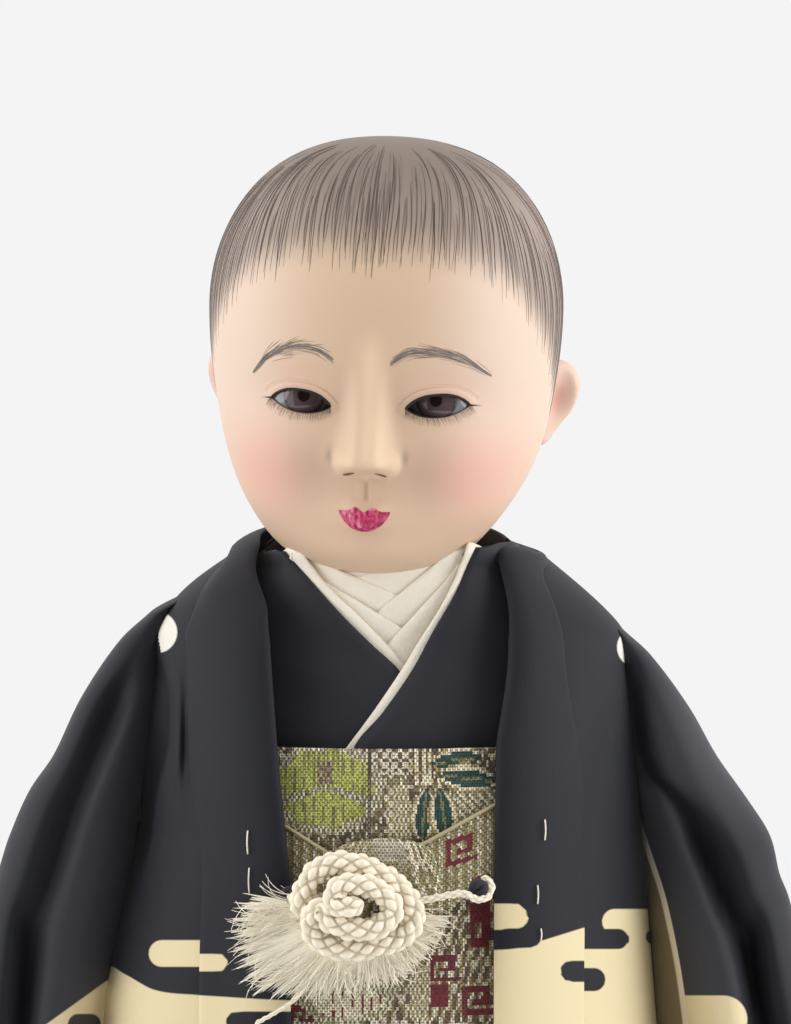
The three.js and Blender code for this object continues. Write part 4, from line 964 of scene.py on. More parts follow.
# The true (x, z) on the dressed body of what shows at (x, z) of the picture plane.
def seenOnBody(x, z, inset):
    tx, tz = np.asarray(x, float), np.asarray(z, float)
    for _ in range(5):
        share = np.clip(1 - (tx / (halfWidthAt(tz) - inset)) ** 2, 0, 1)
        tx, tz = fromSeen(x, z, -(halfDepthAt(tz) - inset) * np.sqrt(share))
    return tx, tz


# An edge that runs up the front, given as (height, x) of the picture plane.
def seenEdge(stations, inset):
    heights, xs = np.array(stations, float).T
    tx, tz = seenOnBody(xs, heights, inset)
    return through(np.stack([tz, tx], 1))


# Layers lie closer together round the neck than over the waist, and flare out under the jaw.
def layered(inset, z, angle=0.0):
    flare = 3.9 * smooth(z, 316, 322) * smooth(np.cos(angle), 0.1, 0.5)
    return inset * mix(1, 0.42, smooth(z, 298, 320)) - flare


# A sheet of cloth on its own grid of points, which stands for a node of the solid model.
def addCloth(name, points, material, body, thickness, nodeName, slot, **more):
    uCount, vCount = points.shape[:2]
    piece = addPiece(name, points, [gridFaces(uCount, vCount)], material, body, **more)
    thicken(piece, thickness)
    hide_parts(nodeName)
    return piece


# Collars: bands round the neck that cross in front, the doll's left over its right, each with a rolled upper edge

collarForm = {
    "width": 8.5,
    "thickness": 0.3,
    "inner": {"right": ((-19.4, 321.2), (-3.0, 315.4)), "left": ((16.8, 321.2), (-3.0, 315.4))},
    "middle": {"right": ((-18.4, 319.0), (1.0, 310.6)), "left": ((14.4, 321.0), (-2.5, 307.0))},
    "outer": {"right": ((-18.0, 315.8), (1.9, 304.0)), "left": ((15.2, 317.2), (-0.2, 300.6))},
    "edging": {
        "right": ((-19.4, 321.0), (-16.2, 316.0), (-12.5, 311.6), (-8.2, 307.6), (-3.9, 303.6), (3.4, 295.6)),
        "left": ((16.6, 321.3), (14.6, 316.2), (12.2, 311.0), (7.0, 302.3), (2.4, 294.9), (-3.7, 286.0), (-9.7, 278.0)),
    },
}


def collarBand(name, lines, over, under, nodeName):
    def stations(line, inset, reach):
        line = np.array(line, float)
        step = line[-1] - line[-2]
        end = line[-1] + step / np.linalg.norm(step) * reach
        t, knots = np.linspace(1, 0, 7), np.linspace(0, 1, len(line))
        xs, zs = (np.r_[end[k], np.interp(t, knots, line[:, k])] for k in (0, 1))
        xs, zs = seenOnBody(xs, zs, layered(inset, zs))
        return angleAt(xs, zs, layered(inset, zs)), zs

    rightAngle, rightZ = stations(lines["right"], under, 7)
    leftAngle, leftZ = stations(lines["left"], over, 5)
    backZ = max(rightZ[-1], leftZ[-1]) - 4.5
    full = 2 * math.pi
    rightWay = [rightAngle[-1] - 0.22, -1.45, -2.2]
    leftWay = [2.2 - full, 1.45 - full, leftAngle[-1] + 0.22 - full]
    angles = np.r_[rightAngle, rightWay, -math.pi, leftWay, leftAngle[::-1] - full]
    behind = [rightZ[-1] - 2.8, rightZ[-1] - 5, backZ, backZ + 0.8, backZ, leftZ[-1] - 5, leftZ[-1] - 2.8]
    heights = np.r_[rightZ, behind, leftZ[::-1]]
    insets = mix(under, over, np.linspace(0, 1, 7)) + np.array([0.6, 2, 3, 3, 3, 2, 0.6])
    insets = np.r_[np.full(8, under), insets, np.full(8, over)]
    run = np.concatenate([[0], np.cumsum(np.hypot(np.diff(angles) * 20, np.diff(heights)))])
    t = np.linspace(0, run[-1], 260)
    angle, z, inset = (through(np.stack([run, part], 1))(t) for part in (angles, heights, insets))
    radius = 24.0
    da, dz = np.gradient(angle) * radius, np.gradient(z)
    length = np.hypot(da, dz)
    na, nz = dz / length, -da / length
    turned = np.where(nz > 0, -1, 1)
    na, nz = na * turned, nz * turned
    drop = np.array([1.5, 0.8, 0.3, 0.05, 0.0, 0.08, 0.3, 0.7, 1.3, 2.2, 3.4, 4.8, 6.5, collarForm["width"]])
    deep = np.array([1.15, 1.1, 0.95, 0.72, 0.5, 0.28, 0.1, 0.02, 0, 0, 0, 0, 0, 0])
    pa = angle[:, None] + na[:, None] * drop / radius
    pz = z[:, None] + nz[:, None] * drop
    soft = 0.12 * ripple(t[:, None], drop[None, :] * 1.5, 9, over)
    points = onBody(pa, pz, layered(inset[:, None], pz, pa) + deep * 0.9 - soft)
    piece = addCloth(name, points, creamCrepe, "torso", collarForm["thickness"], nodeName, "cream_crepe")


def addCollars():
    for name, over, under, nodeName in (
        ("inner", 15.4, 16.3, "juban_collar_inner"),
        ("middle", 13.6, 14.5, "juban_collar_middle"),
        ("outer", 11.8, 12.7, "juban_collar_outer"),
        ("edging", 8.4, 10.9, "date_collar"),
    ):
        collarBand(name + "_collar", collarForm[name], over, under, nodeName)


# Kimono: two fronts whose edges cross, and a back

kimonoForm = {"overInset": 6.8, "underInset": 9.3, "rearInset": 7.6, "hem": 205.0, "thickness": 0.6}
overEdge = seenEdge(
    [(200, -18), (278.2, -7.7), (286.2, -1.4), (294.9, 4.7), (303, 9.1), (311, 13.7), (320.7, 17.8), (324, 19.4)],
    kimonoForm["overInset"],
)
underEdge = seenEdge(
    [(200, 18), (278, 12), (294.4, 2.2), (300.2, -3.9), (306, -9.7), (314, -16.8), (320.7, -21.8), (324, -24.4)],
    kimonoForm["underInset"],
)


def kimonoFront(name, side, edge, inset, nodeName):
    u, v = grid(80, 120)
    top = 320.0 - 0.8 * smooth(u, 0.15, 0.55)
    if side > 0:
        top = 321.2 + 0.6 * smooth(u, 0, 0.25) - 1.2 * smooth(u, 0.45, 0.75)
    z = mix(top, kimonoForm["hem"], v**1.15)
    lay = layered(inset, z)
    start = angleAt(edge(z), z, lay)
    angle = mix(start, side * math.radians(88), u)
    roll = 0.7 * bell(u, 0.02) - 0.35 * bell(u - 0.12, 0.09)
    soft = 0.55 * ripple(angle * 40 + 0.5 * z, z, 24, side) * smooth(u, 0.02, 0.2)
    points = onBody(angle, z, layered(inset, z, angle) + roll - soft)
    piece = addCloth(name, points, blackSilk, "torso", kimonoForm["thickness"], nodeName, "black_silk")


def addKimono():
    kimonoFront("kimono_left", 1, overEdge, kimonoForm["overInset"], "kimono_left_front")
    kimonoFront("kimono_right", -1, underEdge, kimonoForm["underInset"], "kimono_right_front")
    u, v = grid(90, 80)
    angle = mix(math.radians(87), 2 * math.pi - math.radians(87), u)
    z = mix(323.2 - 1.6 * smooth(np.abs(u - 0.5), 0.3, 0.5), kimonoForm["hem"], v)
    points = onBody(angle, z, layered(kimonoForm["rearInset"], z, angle))
    thickness = kimonoForm["thickness"]
    piece = addCloth("kimono_rear", points, blackSilk, "torso", thickness, "kimono_back", "black_silk")


# Haori clouds: cream shapes with rounded lobes, given as a distance inside their edge


# A lobe: all that lies within a radius of the level line from x0 to x1 at height z0.
def lobe(x, z, x0, x1, z0, radius):
    middle, half = (x0 + x1) / 2, (x1 - x0) / 2
    return radius - np.hypot(np.maximum(np.abs(x - middle) - half, 0), z - z0)


def cloudField(part, x, z):
    foot = through([(-90, 172), (-60, 160), (-35, 168), (-10, 158), (10, 166), (35, 157), (60, 168), (90, 158)])
    if part == "left_front":
        top = through([(30, 238), (40, 238.4), (50, 238.4), (56, 239), (95, 236)])(x)
        field = np.minimum(top - z, z - foot(x))
        field = np.maximum(field, lobe(x, z, 46.5, 70, 242.8, 2.6))
        field = np.maximum(field, np.minimum(np.minimum(x - 49.5, 243 - z), z - foot(x)))
        field = np.minimum(field, -lobe(x, z, 30, 47.2, 239.2, 2.1))
        field = np.minimum(field, -lobe(x, z, 54.4, 54.4, 239.6, 1.5))
        field = np.minimum(field, -lobe(x, z, 38, 42.2, 230.8, 2.4))
    elif part == "left_band":
        top = through([(15, 236.8), (26, 237.2), (31, 238.7), (40, 241.5)])(x)
        field = np.minimum(top - z, z - foot(x))
        field = np.maximum(field, lobe(x, z, 10, 26, 243.8, 2.7))
        field = np.minimum(field, -lobe(x, z, 24.2, 40, 239.4, 2.0))
        field = np.maximum(field, np.minimum(np.minimum(top - z, x - 30.5), z - foot(x)))
        field = np.minimum(field, -lobe(x, z, 37.4, 42, 232.5, 2.2))
    elif part == "right_front":
        top = through([(-75, 225), (-66, 226), (-58.6, 233.4), (-54.9, 231.9), (-48.6, 228.6), (-39, 227.5)])(x)
        field = np.minimum(top - z, z - foot(x))
        field = np.maximum(field, lobe(x, z, -47.2, -36, 236.2, 2.75))
    elif part == "right_band":
        top = through([(-45, 227.8), (-39, 227.5), (-24, 226.6), (-15, 226.4)])(x)
        field = np.minimum(top - z, z - foot(x))
        field = np.maximum(field, lobe(x, z, -42, -35.4, 234.3, 1.8))
        field = np.minimum(field, -lobe(x, z, -31.8, -10, 222, 2.2))
    elif part == "left_sleeve":
        field = np.maximum(lobe(x, z, 60, 69, 222.5, 5.0), np.minimum(221 - z, 70 - x) * 0.8)
        field = np.minimum(field, z - 196 + 0.1 * x)
    elif part == "right_sleeve":
        field = np.minimum((222 + (x + 70.5) * 0.72 - z) * 0.8, z - 196 - 0.1 * x)
        field = np.minimum(field, -lobe(x, z, -64.5, -62, 221.5, 2.2))
    else:
        field = np.minimum(232 + 5 * np.sin(x * 0.16) - z, z - foot(x))
        field = np.minimum(field, -lobe(x, z, -12, 10, 214, 3.2))
    for x0, z0 in ((-48, 205), (-30, 192), (27, 208), (47, 196), (-2, 184)):
        field = np.minimum(field, -lobe(x, z, x0 - 4, x0 + 4, z0, 2.6))
    return field


# Crests: discs by radius and place in the picture plane, the last one only at the back.
crestForm = {"right": (4.35, -48.4, 302.7), "left": (4.2, 51.2, 299.6), "rear": (4.4, 0.0, 296.0)}
noCrest = -9.0


def crestField(x, z, y):
    right, left, rear = (radius - np.hypot(x - x0, z - z0) for radius, x0, z0 in crestForm.values())
    return np.maximum(np.maximum(right, left), rear - 50 * (y < 0))


# deep is painted shade in the folds, the grey tone painted light on their backs; lining is the lining darkened in
# shade.
silkTones = {
    "black": (0.014, 0.0145, 0.02),
    "deep": (0.0015, 0.0016, 0.003),
    "foldLight": (0.06, 0.06, 0.07),
    "cloud": (0.72, 0.61, 0.375),
    "crest": (0.74, 0.7, 0.62),
    "edge": (0.78, 0.7, 0.56),
    "lining": (0.22, 0.17, 0.095),
}
cloudSilk = newMaterial("cloud_silk", silkTones["black"], 0.62, specular=0.18, sheen=0.06)
addGrain(cloudSilk, 0.5, 0.05)


# Black silk turns cream inside the clouds and white inside the crests, is painted darker in the folds as their shade
# and lighter on their backs as painted light, and shows its lining past an edge, painted darker beyond it as shade.
def paintClouds():
    def field(key):
        return node(cloudSilk, "ShaderNodeAttribute", attribute_name=key).outputs["Fac"]

    fold, turned = field("fold"), field("turned")
    shown = blended(cloudSilk, fold, silkTones["black"], silkTones["deep"])
    shown = blended(cloudSilk, ranged(cloudSilk, fold, 0, -1), shown, silkTones["foldLight"])
    for key in ("cloud", "crest"):
        shown = blended(cloudSilk, ranged(cloudSilk, field(key), -0.15, 0.15), shown, silkTones[key])
    lining = blended(cloudSilk, ranged(cloudSilk, turned, 3.0, 3.3), silkTones["edge"], silkTones["lining"])
    shown = blended(cloudSilk, ranged(cloudSilk, turned, 1.9, 2.1), shown, lining)
    link(cloudSilk, shown, shaderOf(cloudSilk).inputs["Base Color"])


paintClouds()

haoriForm = {"neck": 318.6, "hem": 118.0, "thickness": 0.7, "fold": 1.6}
bandForm = {"over": 1.6, "thickness": 0.6}
leftOpening = seenEdge(
    [(112, 22.5), (221.6, 21.9), (279, 22.5), (286, 23.6), (294, 24.8), (302, 25.2), (309.4, 24.6), (323, 22.6)],
    -bandForm["over"],
)
rightOpening = seenEdge(
    [(112, -22.0), (222, -21.0), (247, -20.9), (278.3, -23.8), (305, -25.8), (323, -26.6)], -bandForm["over"]
)


def fields(part, points):
    x, z = asSeen(points)
    return {"cloud": cloudField(part, x, z), "crest": crestField(x, z, points[..., 1])}


# How far out the crooked fold beside the right sleeve lies, by height.
armFold = through(
    [(240, 53.5), (251.4, 51.9), (259, 50), (269.4, 48.6), (280.4, 46), (290, 46), (297.6, 47.6), (306, 49)]
)


# A front: its edge hides under the band. The left one has a soft hollow before the arm; the right one is fuller at
# shoulder and side, drops into a crooked fold beside the sleeve, and is pinched beside the band.
def haoriFront(side, name, opening):
    u, v = grid(130, 220)
    z = mix(haoriForm["neck"], haoriForm["hem"], v**1.15)
    edge = angleAt(side * opening(z) + 5, z, 0)
    angle = side * mix(edge, math.radians(91), u)
    drape = 0.5 * ripple(np.degrees(angle), z * 0.16, 26, side) * smooth(304 - z, 0, 80) * (1 - smooth(u, 0.86, 1))
    points = onBody(angle, z, -drape - fullness(angle, z))
    values = fields(name + "_front", points)
    away = np.abs(points[..., 0])
    if side > 0:
        dent = 1.5 * bell(away - 43.5, 4.0) * bell(z - 276, 13)
    else:
        past = away - armFold(z)
        upper = smooth(z, 246, 262) * smooth(304 - z, 2, 10)
        drop = np.where(past < 0, bell(past, 0.7), bell(past, 3.4))
        pinch = bell(away - 42.1, 0.9) * bell(z - 281, 10)
        dent = upper * (1.9 * drop - 0.7 * bell(past + 2.4, 1.6)) + 1.3 * pinch
        values["crest"] = np.where(past < 0, values["crest"], noCrest)
        # The crooked fold and the pinch are painted darker as their shade.
        values["fold"] = 0.7 * (upper * drop + pinch)
    points[..., 1] += dent
    piece = addCloth(
        "haori_" + name, points, cloudSilk, "torso", haoriForm["thickness"], "haori_" + name + "_front", "black_silk",
        values=values,
    )


# How much fuller the haori is than the plain body outline: over its right shoulder, and low at its right side.
def fullness(angle, z):
    side = smooth(-np.sin(angle), 0.55, 0.95)
    return side * (2.6 * bell(z - 312, 8) + 0.14 * np.clip(262 - z, 0, 34))


def haoriBack():
    u, v = grid(150, 150)
    angle = mix(math.radians(87.5), 2 * math.pi - math.radians(87.5), u)
    z = mix(haoriForm["neck"], haoriForm["hem"], v)
    away = math.pi - np.abs(math.pi - angle)
    fall = smooth(304 - z, 0, 120)
    drape = haoriForm["fold"] * fall * (0.5 + 0.5 * np.cos(away * 9)) * smooth(away, 1.7, 2.0)
    under = 1.3 * smooth(np.abs(u - 0.5), 0.46, 0.485)
    points = onBody(angle, z, under - drape - fullness(angle, z) * smooth(np.abs(np.cos(angle)), 0.9, 0.2))
    piece = addCloth(
        "haori_rear", points, cloudSilk, "torso", haoriForm["thickness"], "haori_back", "black_silk",
        values=fields("back", points),
    )


# The band: a soft rolled strip up one front, round the neck and down the other. Its section runs from the rolled inner
# edge to the outer edge, as share of the width and depth behind its face.
leftBandOuter = seenEdge(
    [(112, 39.5), (221.6, 40.6), (268, 40.6), (280, 39.3), (288, 37.8), (295.8, 36.6), (303.5, 35.9), (308.7, 33.9)],
    -bandForm["over"],
)
rightBandOuter = seenEdge([(112, -39.0), (236, -39.3), (254, -39.4), (275, -42.0), (306, -42.6)], -bandForm["over"])
bandSection = [
    (0.16, 2.2), (0.08, 2.1), (0.03, 1.9), (0.008, 1.5), (0, 1.0), (0.006, 0.5), (0.025, 0.05), (0.06, -0.35),
    (0.12, -0.7), (0.2, -0.95), (0.32, -1.0), (0.46, -0.85), (0.6, -0.6), (0.72, -0.35), (0.82, -0.15), (0.9, -0.02),
    (0.95, 0.08), (0.985, 0.3), (1.0, 0.7),
]


# One half of the band's inner and outer edge, as angle and height, from the hem to the middle of the back.
def bandHalf(side, opening, outer, steps):
    low = np.linspace(haoriForm["hem"], 303, 60)
    inner = np.stack([angleAt(side * opening(low), low, -bandForm["over"]), low], 1)
    outerLine = np.stack([angleAt(side * outer(low), low, -bandForm["over"]), low], 1)
    bend = float(outerLine[-1, 0])
    start = float(inner[-1, 0])
    if side < 0:
        rise = [[start + 0.12, 310], [start + 0.42, 317.4], [1.25, 321.4], [2.0, 323.4], [2.6, 323.6]]
        wide = [[bend + 0.05, 308], [bend + 0.2, 313], [1.5, 316.5]]
    else:
        rise = [[start + 0.11, 311], [start + 0.24, 317.6], [start + 0.36, 320.6], [1.05, 321.0], [1.25, 319.6]]
        rise += [[1.57, 318.6], [2.0, 318.8], [2.3, 320.4], [2.6, 322.2]]
        wide = [[bend + 0.08, 308.7], [bend + 0.22, 314.6], [1.25, 316.4], [1.7, 316.0]]
    inner = np.concatenate([inner, rise, [[math.pi, 323.4]]])
    outerLine = np.concatenate([outerLine, wide, [[2.2, 315.0], [2.65, 313.0], [math.pi, 312.3]]])
    t = np.linspace(0, 1, steps)
    made = []
    for line in (inner, outerLine):
        run = np.concatenate([[0], np.cumsum(np.hypot(np.diff(line[:, 0]) * 36, np.diff(line[:, 1])))])
        made.append(np.stack([through(np.stack([run / run[-1], line[:, k]], 1))(t) for k in (0, 1)], -1))
    return made


def addBand():
    steps = 200
    right = bandHalf(-1, rightOpening, rightBandOuter, steps)
    left = bandHalf(1, leftOpening, leftBandOuter, steps)
    inner = np.concatenate([left[0], (right[0] * [-1, 1] + [2 * math.pi, 0])[::-1][1:]])
    outer = np.concatenate([left[1], (right[1] * [-1, 1] + [2 * math.pi, 0])[::-1][1:]])
    share, deep = np.array(bandSection).T
    path = inner[:, None] + (outer - inner)[:, None] * share[None, :, None]
    angle, z = path[..., 0], path[..., 1]
    soft = 0.25 * ripple(angle * 40, z, 34, 3) * np.sin(share * math.pi)[None]
    sunk = 2.2 * mix(1, smooth(share, 0.35, 1.0)[None], angle > math.pi)
    sunk = sunk * (bell(angle - 1.6, 0.36) + bell(angle - 4.75, 0.42))
    points = onBody(angle, z, -bandForm["over"] + deep - soft + sunk - fullness(angle, z))
    x, seenZ = asSeen(points)
    cloud = np.where(x > 0, cloudField("left_band", x, seenZ), cloudField("right_band", x, seenZ))
    values = {"cloud": cloud, "crest": np.full(cloud.shape, noCrest)}
    thickness = bandForm["thickness"]
    piece = addCloth("haori_collar", points, cloudSilk, "torso", thickness, "haori_band", "black_silk", values=values)


# Sleeves: wide hanging bags that grow out of the shoulder, with long slanting folds

sleeveForm = {
    "top": {1: 302.0, -1: 305.6},
    "hem": 186.0,
    "slant": 19.0,
    "halfDepth": 24.0,
    "fold": 5.0,
    "face": -16.0,
    "valleyStart": {1: (26.0, 46.0), -1: (4.0, 18.0)},
    "valleyDepth": {1: 1.0, -1: 0.75},
    "outerValley": {1: 75.2, -1: 75.6},
    # shade and shoulderLight: strength of the valley's painted shade and of the painted light by the shoulder.
    "shade": {1: 0.9, -1: 0.45},
    "shoulderLight": {1: 0.8, -1: 0.3},
    "thickness": 0.6,
    "liningInset": 1.6,
    "liningThickness": 0.4,
}
liningEdge = through([(180, 66), (226.2, 61.2), (246.6, 57.4), (264.2, 52), (300, 45)])


# A line down a sleeve, given as (height, x) of the picture plane, that lies at depth y.
def seenSide(stations, y=0.0):
    heights, xs = np.array(stations, float).T
    tx, tz = fromSeen(xs, heights, y)
    return through(np.stack([tz, np.abs(tx)], 1))


sleeveOuter = {
    1: seenSide(
        [
            (186, 89), (215, 87), (230, 85.4), (243, 83), (249, 81), (258, 79), (266, 74.5), (276, 68), (287, 62),
            (298, 54), (303, 48.5),
        ]
    ),
    -1: seenSide(
        [
            (186, -89), (215, -87), (230, -85.4), (243, -83), (251, -81), (258, -79), (268, -75), (276, -70),
            (289, -64), (301, -56), (307, -49.5),
        ]
    ),
}
sleeveDepthShare = through([(0, 0.3), (0.13, 0.5), (0.31, 0.72), (0.6, 0.9), (1, 1)])
sleeveValley = {
    1: seenSide(
        [
            (186, 82), (215, 78.5), (239, 72.6), (245, 69.8), (252, 67), (258.5, 64.2), (264.5, 61.6), (268.6, 58.6),
            (272.5, 54.8), (279, 52.4), (300, 50.5),
        ],
        sleeveForm["face"],
    ),
    -1: seenSide(
        [
            (186, -79), (215, -76.5), (235, -73.6), (243, -72.8), (253.5, -69.6), (265, -66), (273.6, -62.5),
            (285, -57.8), (296.3, -54.2), (306, -52),
        ],
        sleeveForm["face"],
    ),
}


# How far a valley has opened at a height: the left one is only a line near the shoulder.
def opened(z, side):
    low, high = sleeveForm["valleyStart"][side]
    return smooth(sleeveForm["top"][side] - z, low, high)


# A second, short valley low down near the outer side.
def lowValley(x, z, side):
    return bell(x - sleeveForm["outerValley"][side], 2.4) * smooth(252 - z, 0, 14)


# How far out the sleeve's inner side lies at a height.
def sleeveInner(z):
    return 52.3 + (270 - z) * 0.0868 - 2.8 * smooth(z, 262, 294)


# Points of a sleeve: turn 0 is its outer side, v runs from the shoulder to the hem, and inset draws it in all round.
# In front a deep slanting valley parts a narrow inner fold from the broad outer one.
def sleevePoints(turn, v, inset, side):
    z = mix(sleeveForm["top"][side], sleeveForm["hem"], v)
    inner, outer = sleeveInner(z), sleeveOuter[side](z)
    half = (outer - inner) / 2
    deep = np.maximum(sleeveForm["halfDepth"] * sleeveDepthShare(v) - inset, 0.5)
    c, s = np.cos(turn), np.sin(turn)
    across = np.sign(c) * np.abs(c) ** 0.75
    dip = 1.2 * v * (0.5 + 0.5 * np.cos(5 * turn)) * np.maximum(0, c)
    x = inner + half + across * np.maximum(half - inset, 0.3) - dip
    low = np.clip(258 - z, 0, 60)
    x = x + 0.13 * low * smooth(-s, 0.05, 0.5) * smooth(-c, 0.0, 0.7)
    x = x - 4.2 * smooth(-c, 0.1, 0.6) * bell(s - 0.8, 0.3) * smooth(v, 0.1, 0.35) * (inset == 0)
    height = z + sleeveForm["slant"] * v * v * across
    aside = x - sleeveValley[side](height)
    open_ = opened(height, side)
    valley = np.where(aside < 0, bell(aside, 2.5), bell(aside, mix(1.8, 3.8, open_)))
    valley = mix(0.25, sleeveForm["valleyDepth"][side], open_) * valley
    ridge = 0.35 * bell(aside - 8, 4.5) * open_ + 0.1 * bell(aside + 4, 2.5) - 0.5 * lowValley(x, height, side)
    front = smooth(-s, 0.1, 0.55) * smooth(v, 0.03, 0.2)
    fold = sleeveForm["fold"] * (ridge - valley) * front + 0.6 * np.sin(9 * across + 5 * v) * smooth(s, 0.2, 0.7) * v
    y = (deep + fold) * s
    return np.stack([side * x, y, height], -1)


# The sleeve's head: from its top ring up into the haori's shoulder.
def sleeveCap(turn, rise, side):
    base = sleevePoints(turn, np.zeros_like(turn), 0, side)
    x = side * mix(side * base[..., 0], 41.5 + 0.9 * np.cos(turn), rise)
    y = base[..., 1] * mix(1.0, 0.8, rise)
    z = base[..., 2] + 4.4 * rise**0.8
    return np.stack([x, y, z], -1)


def addSleeves():
    around, down, cap = 120, 150, 12
    turn = np.arange(around) / around * 2 * math.pi
    for side, name in ((1, "left"), (-1, "right")):
        t, v = np.meshgrid(turn, np.linspace(0, 1, down), indexing="ij")
        t2, rise = np.meshgrid(turn, np.linspace(1, 0, cap)[:-1], indexing="ij")
        points = np.concatenate([sleeveCap(t2, rise, side), sleevePoints(t, v, 0, side)], 1)
        rows = points.shape[1]
        x, z = asSeen(points)
        cloud = np.where(points[..., 1] < 4, cloudField(name + "_sleeve", x, z), cloudField(name + "_sleeve", x, z + 6))
        # Past the lining's edge the front shows a beige lining strip, then the lining painted darker as shade.
        past = liningEdge(z) - x
        turned = np.where((side > 0) & (points[..., 1] < 4) & (z < 265), 2 + np.minimum(past, (265 - z) * 0.4), 0)
        away, height = np.abs(points[..., 0]), points[..., 2]
        aside = away - sleeveValley[side](height)
        open_ = opened(height, side)
        # Painted shade in the valleys, painted light on the inner fold and by the shoulder, in front only.
        shown = smooth(-points[..., 1], 1, 6) * smooth(sleeveForm["top"][side] - height, 2, 20)
        dark = np.where(aside < 0, bell(aside, 1.1), bell(aside, mix(1.6, 3.8, open_)))
        light = 0.8 * smooth(-aside, 2.0, 5.0) + sleeveForm["shoulderLight"][side] * (1 - open_)
        fold = (sleeveForm["shade"][side] * dark + 0.5 * lowValley(away, height, side) - 0.7 * light) * shown
        values = {"cloud": cloud, "crest": np.full(cloud.shape, noCrest), "turned": turned, "fold": fold}
        middle = points.mean(0, keepdims=True) + np.zeros_like(points)
        piece = addPiece(
            name + "_sleeve",
            points,
            [gridFaces(around, rows, True), (np.arange(around) * rows)[None]],
            cloudSilk,
            None,
            centre=middle.reshape(-1, 3),
            values=values,
        )
        thicken(piece, sleeveForm["thickness"])
        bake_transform(piece)
        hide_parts(name + "_haori_sleeve")

        # The kimono sleeve that shows as a lining inside it.
        rows = 60
        t, v = np.meshgrid(turn, mix(0.36, 0.985, np.linspace(0, 1, rows)), indexing="ij")
        points = sleevePoints(t, v, sleeveForm["liningInset"], side)
        middle = (points.mean(0, keepdims=True) + np.zeros_like(points)).reshape(-1, 3)
        faces = gridFaces(around, rows, True)
        piece = addPiece(name + "_lining", points, [faces], liningSilk, name + "_arm", centre=middle)
        thicken(piece, sleeveForm["liningThickness"])
        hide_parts(name + "_kimono_sleeve")


liningSilk = newMaterial("lining_silk", (0.3, 0.255, 0.19), 0.7, specular=0.2)
addGrain(liningSilk, 0.5, 0.04)
addCollars()
addKimono()
haoriFront(1, "left", leftOpening)
haoriFront(-1, "right", rightOpening)
haoriBack()
addBand()
addSleeves()
print("haori and kimono made")


# Hakama: brocade woven in cells of one thread float, coloured by formulas for flowers, leaves, lozenges and key frets

thread = {"wide": 0.5, "long": 1.15, "raise": 0.35, "gap": 0.17}
weave = {"wide": 46.0, "tall": 57.0, "foot": 222.0, "thickness": 0.6}
dye = {
    "beige": (160, 147, 112),
    "silver": (216, 208, 184),
    "shade": (84, 72, 54),
    "olive": (130, 122, 84),
    "lime": (178, 182, 92),
    "moss": (122, 118, 80),
    "teal": (30, 66, 58),
    "cream": (222, 212, 180),
    "wine": (112, 36, 44),
    "brown": (110, 84, 66),
    "gold": (158, 140, 92),
}


# A thread's colour as linear light.
def dyed(name):
    return (np.array(dye[name]) / 255) ** 2.2


# A leaf blade at a place with a half length, half width and tilt: its edge is where the first result is 1, and the
# second is the share of the half width from its midrib.
def leafShare(x, z, place, half, wide, tilt):
    turn = math.radians(tilt)
    along = (x - place[0]) * math.cos(turn) + (z - place[1]) * math.sin(turn)
    across = (z - place[1]) * math.cos(turn) - (x - place[0]) * math.sin(turn)
    s = np.clip(along / half, -1, 1)
    reach = wide * np.clip(1 - s * s, 0.02, 1) ** 0.8
    return np.maximum(np.abs(across) / reach, np.abs(along) / half), across / wide


# The bars of a key fret that repeats at a pitch.
def fretMask(x, z, pitch):
    a, b = (x / pitch) % 1, (z / pitch) % 1
    bar = (b < 0.16) | ((a < 0.16) & (b < 0.86)) | ((b > 0.68) & (b < 0.86) & (a < 0.84))
    return bar | ((a > 0.66) & (a < 0.84) & (b > 0.3) & (b < 0.86)) | ((b > 0.3) & (b < 0.46) & (a > 0.34) & (a < 0.84))


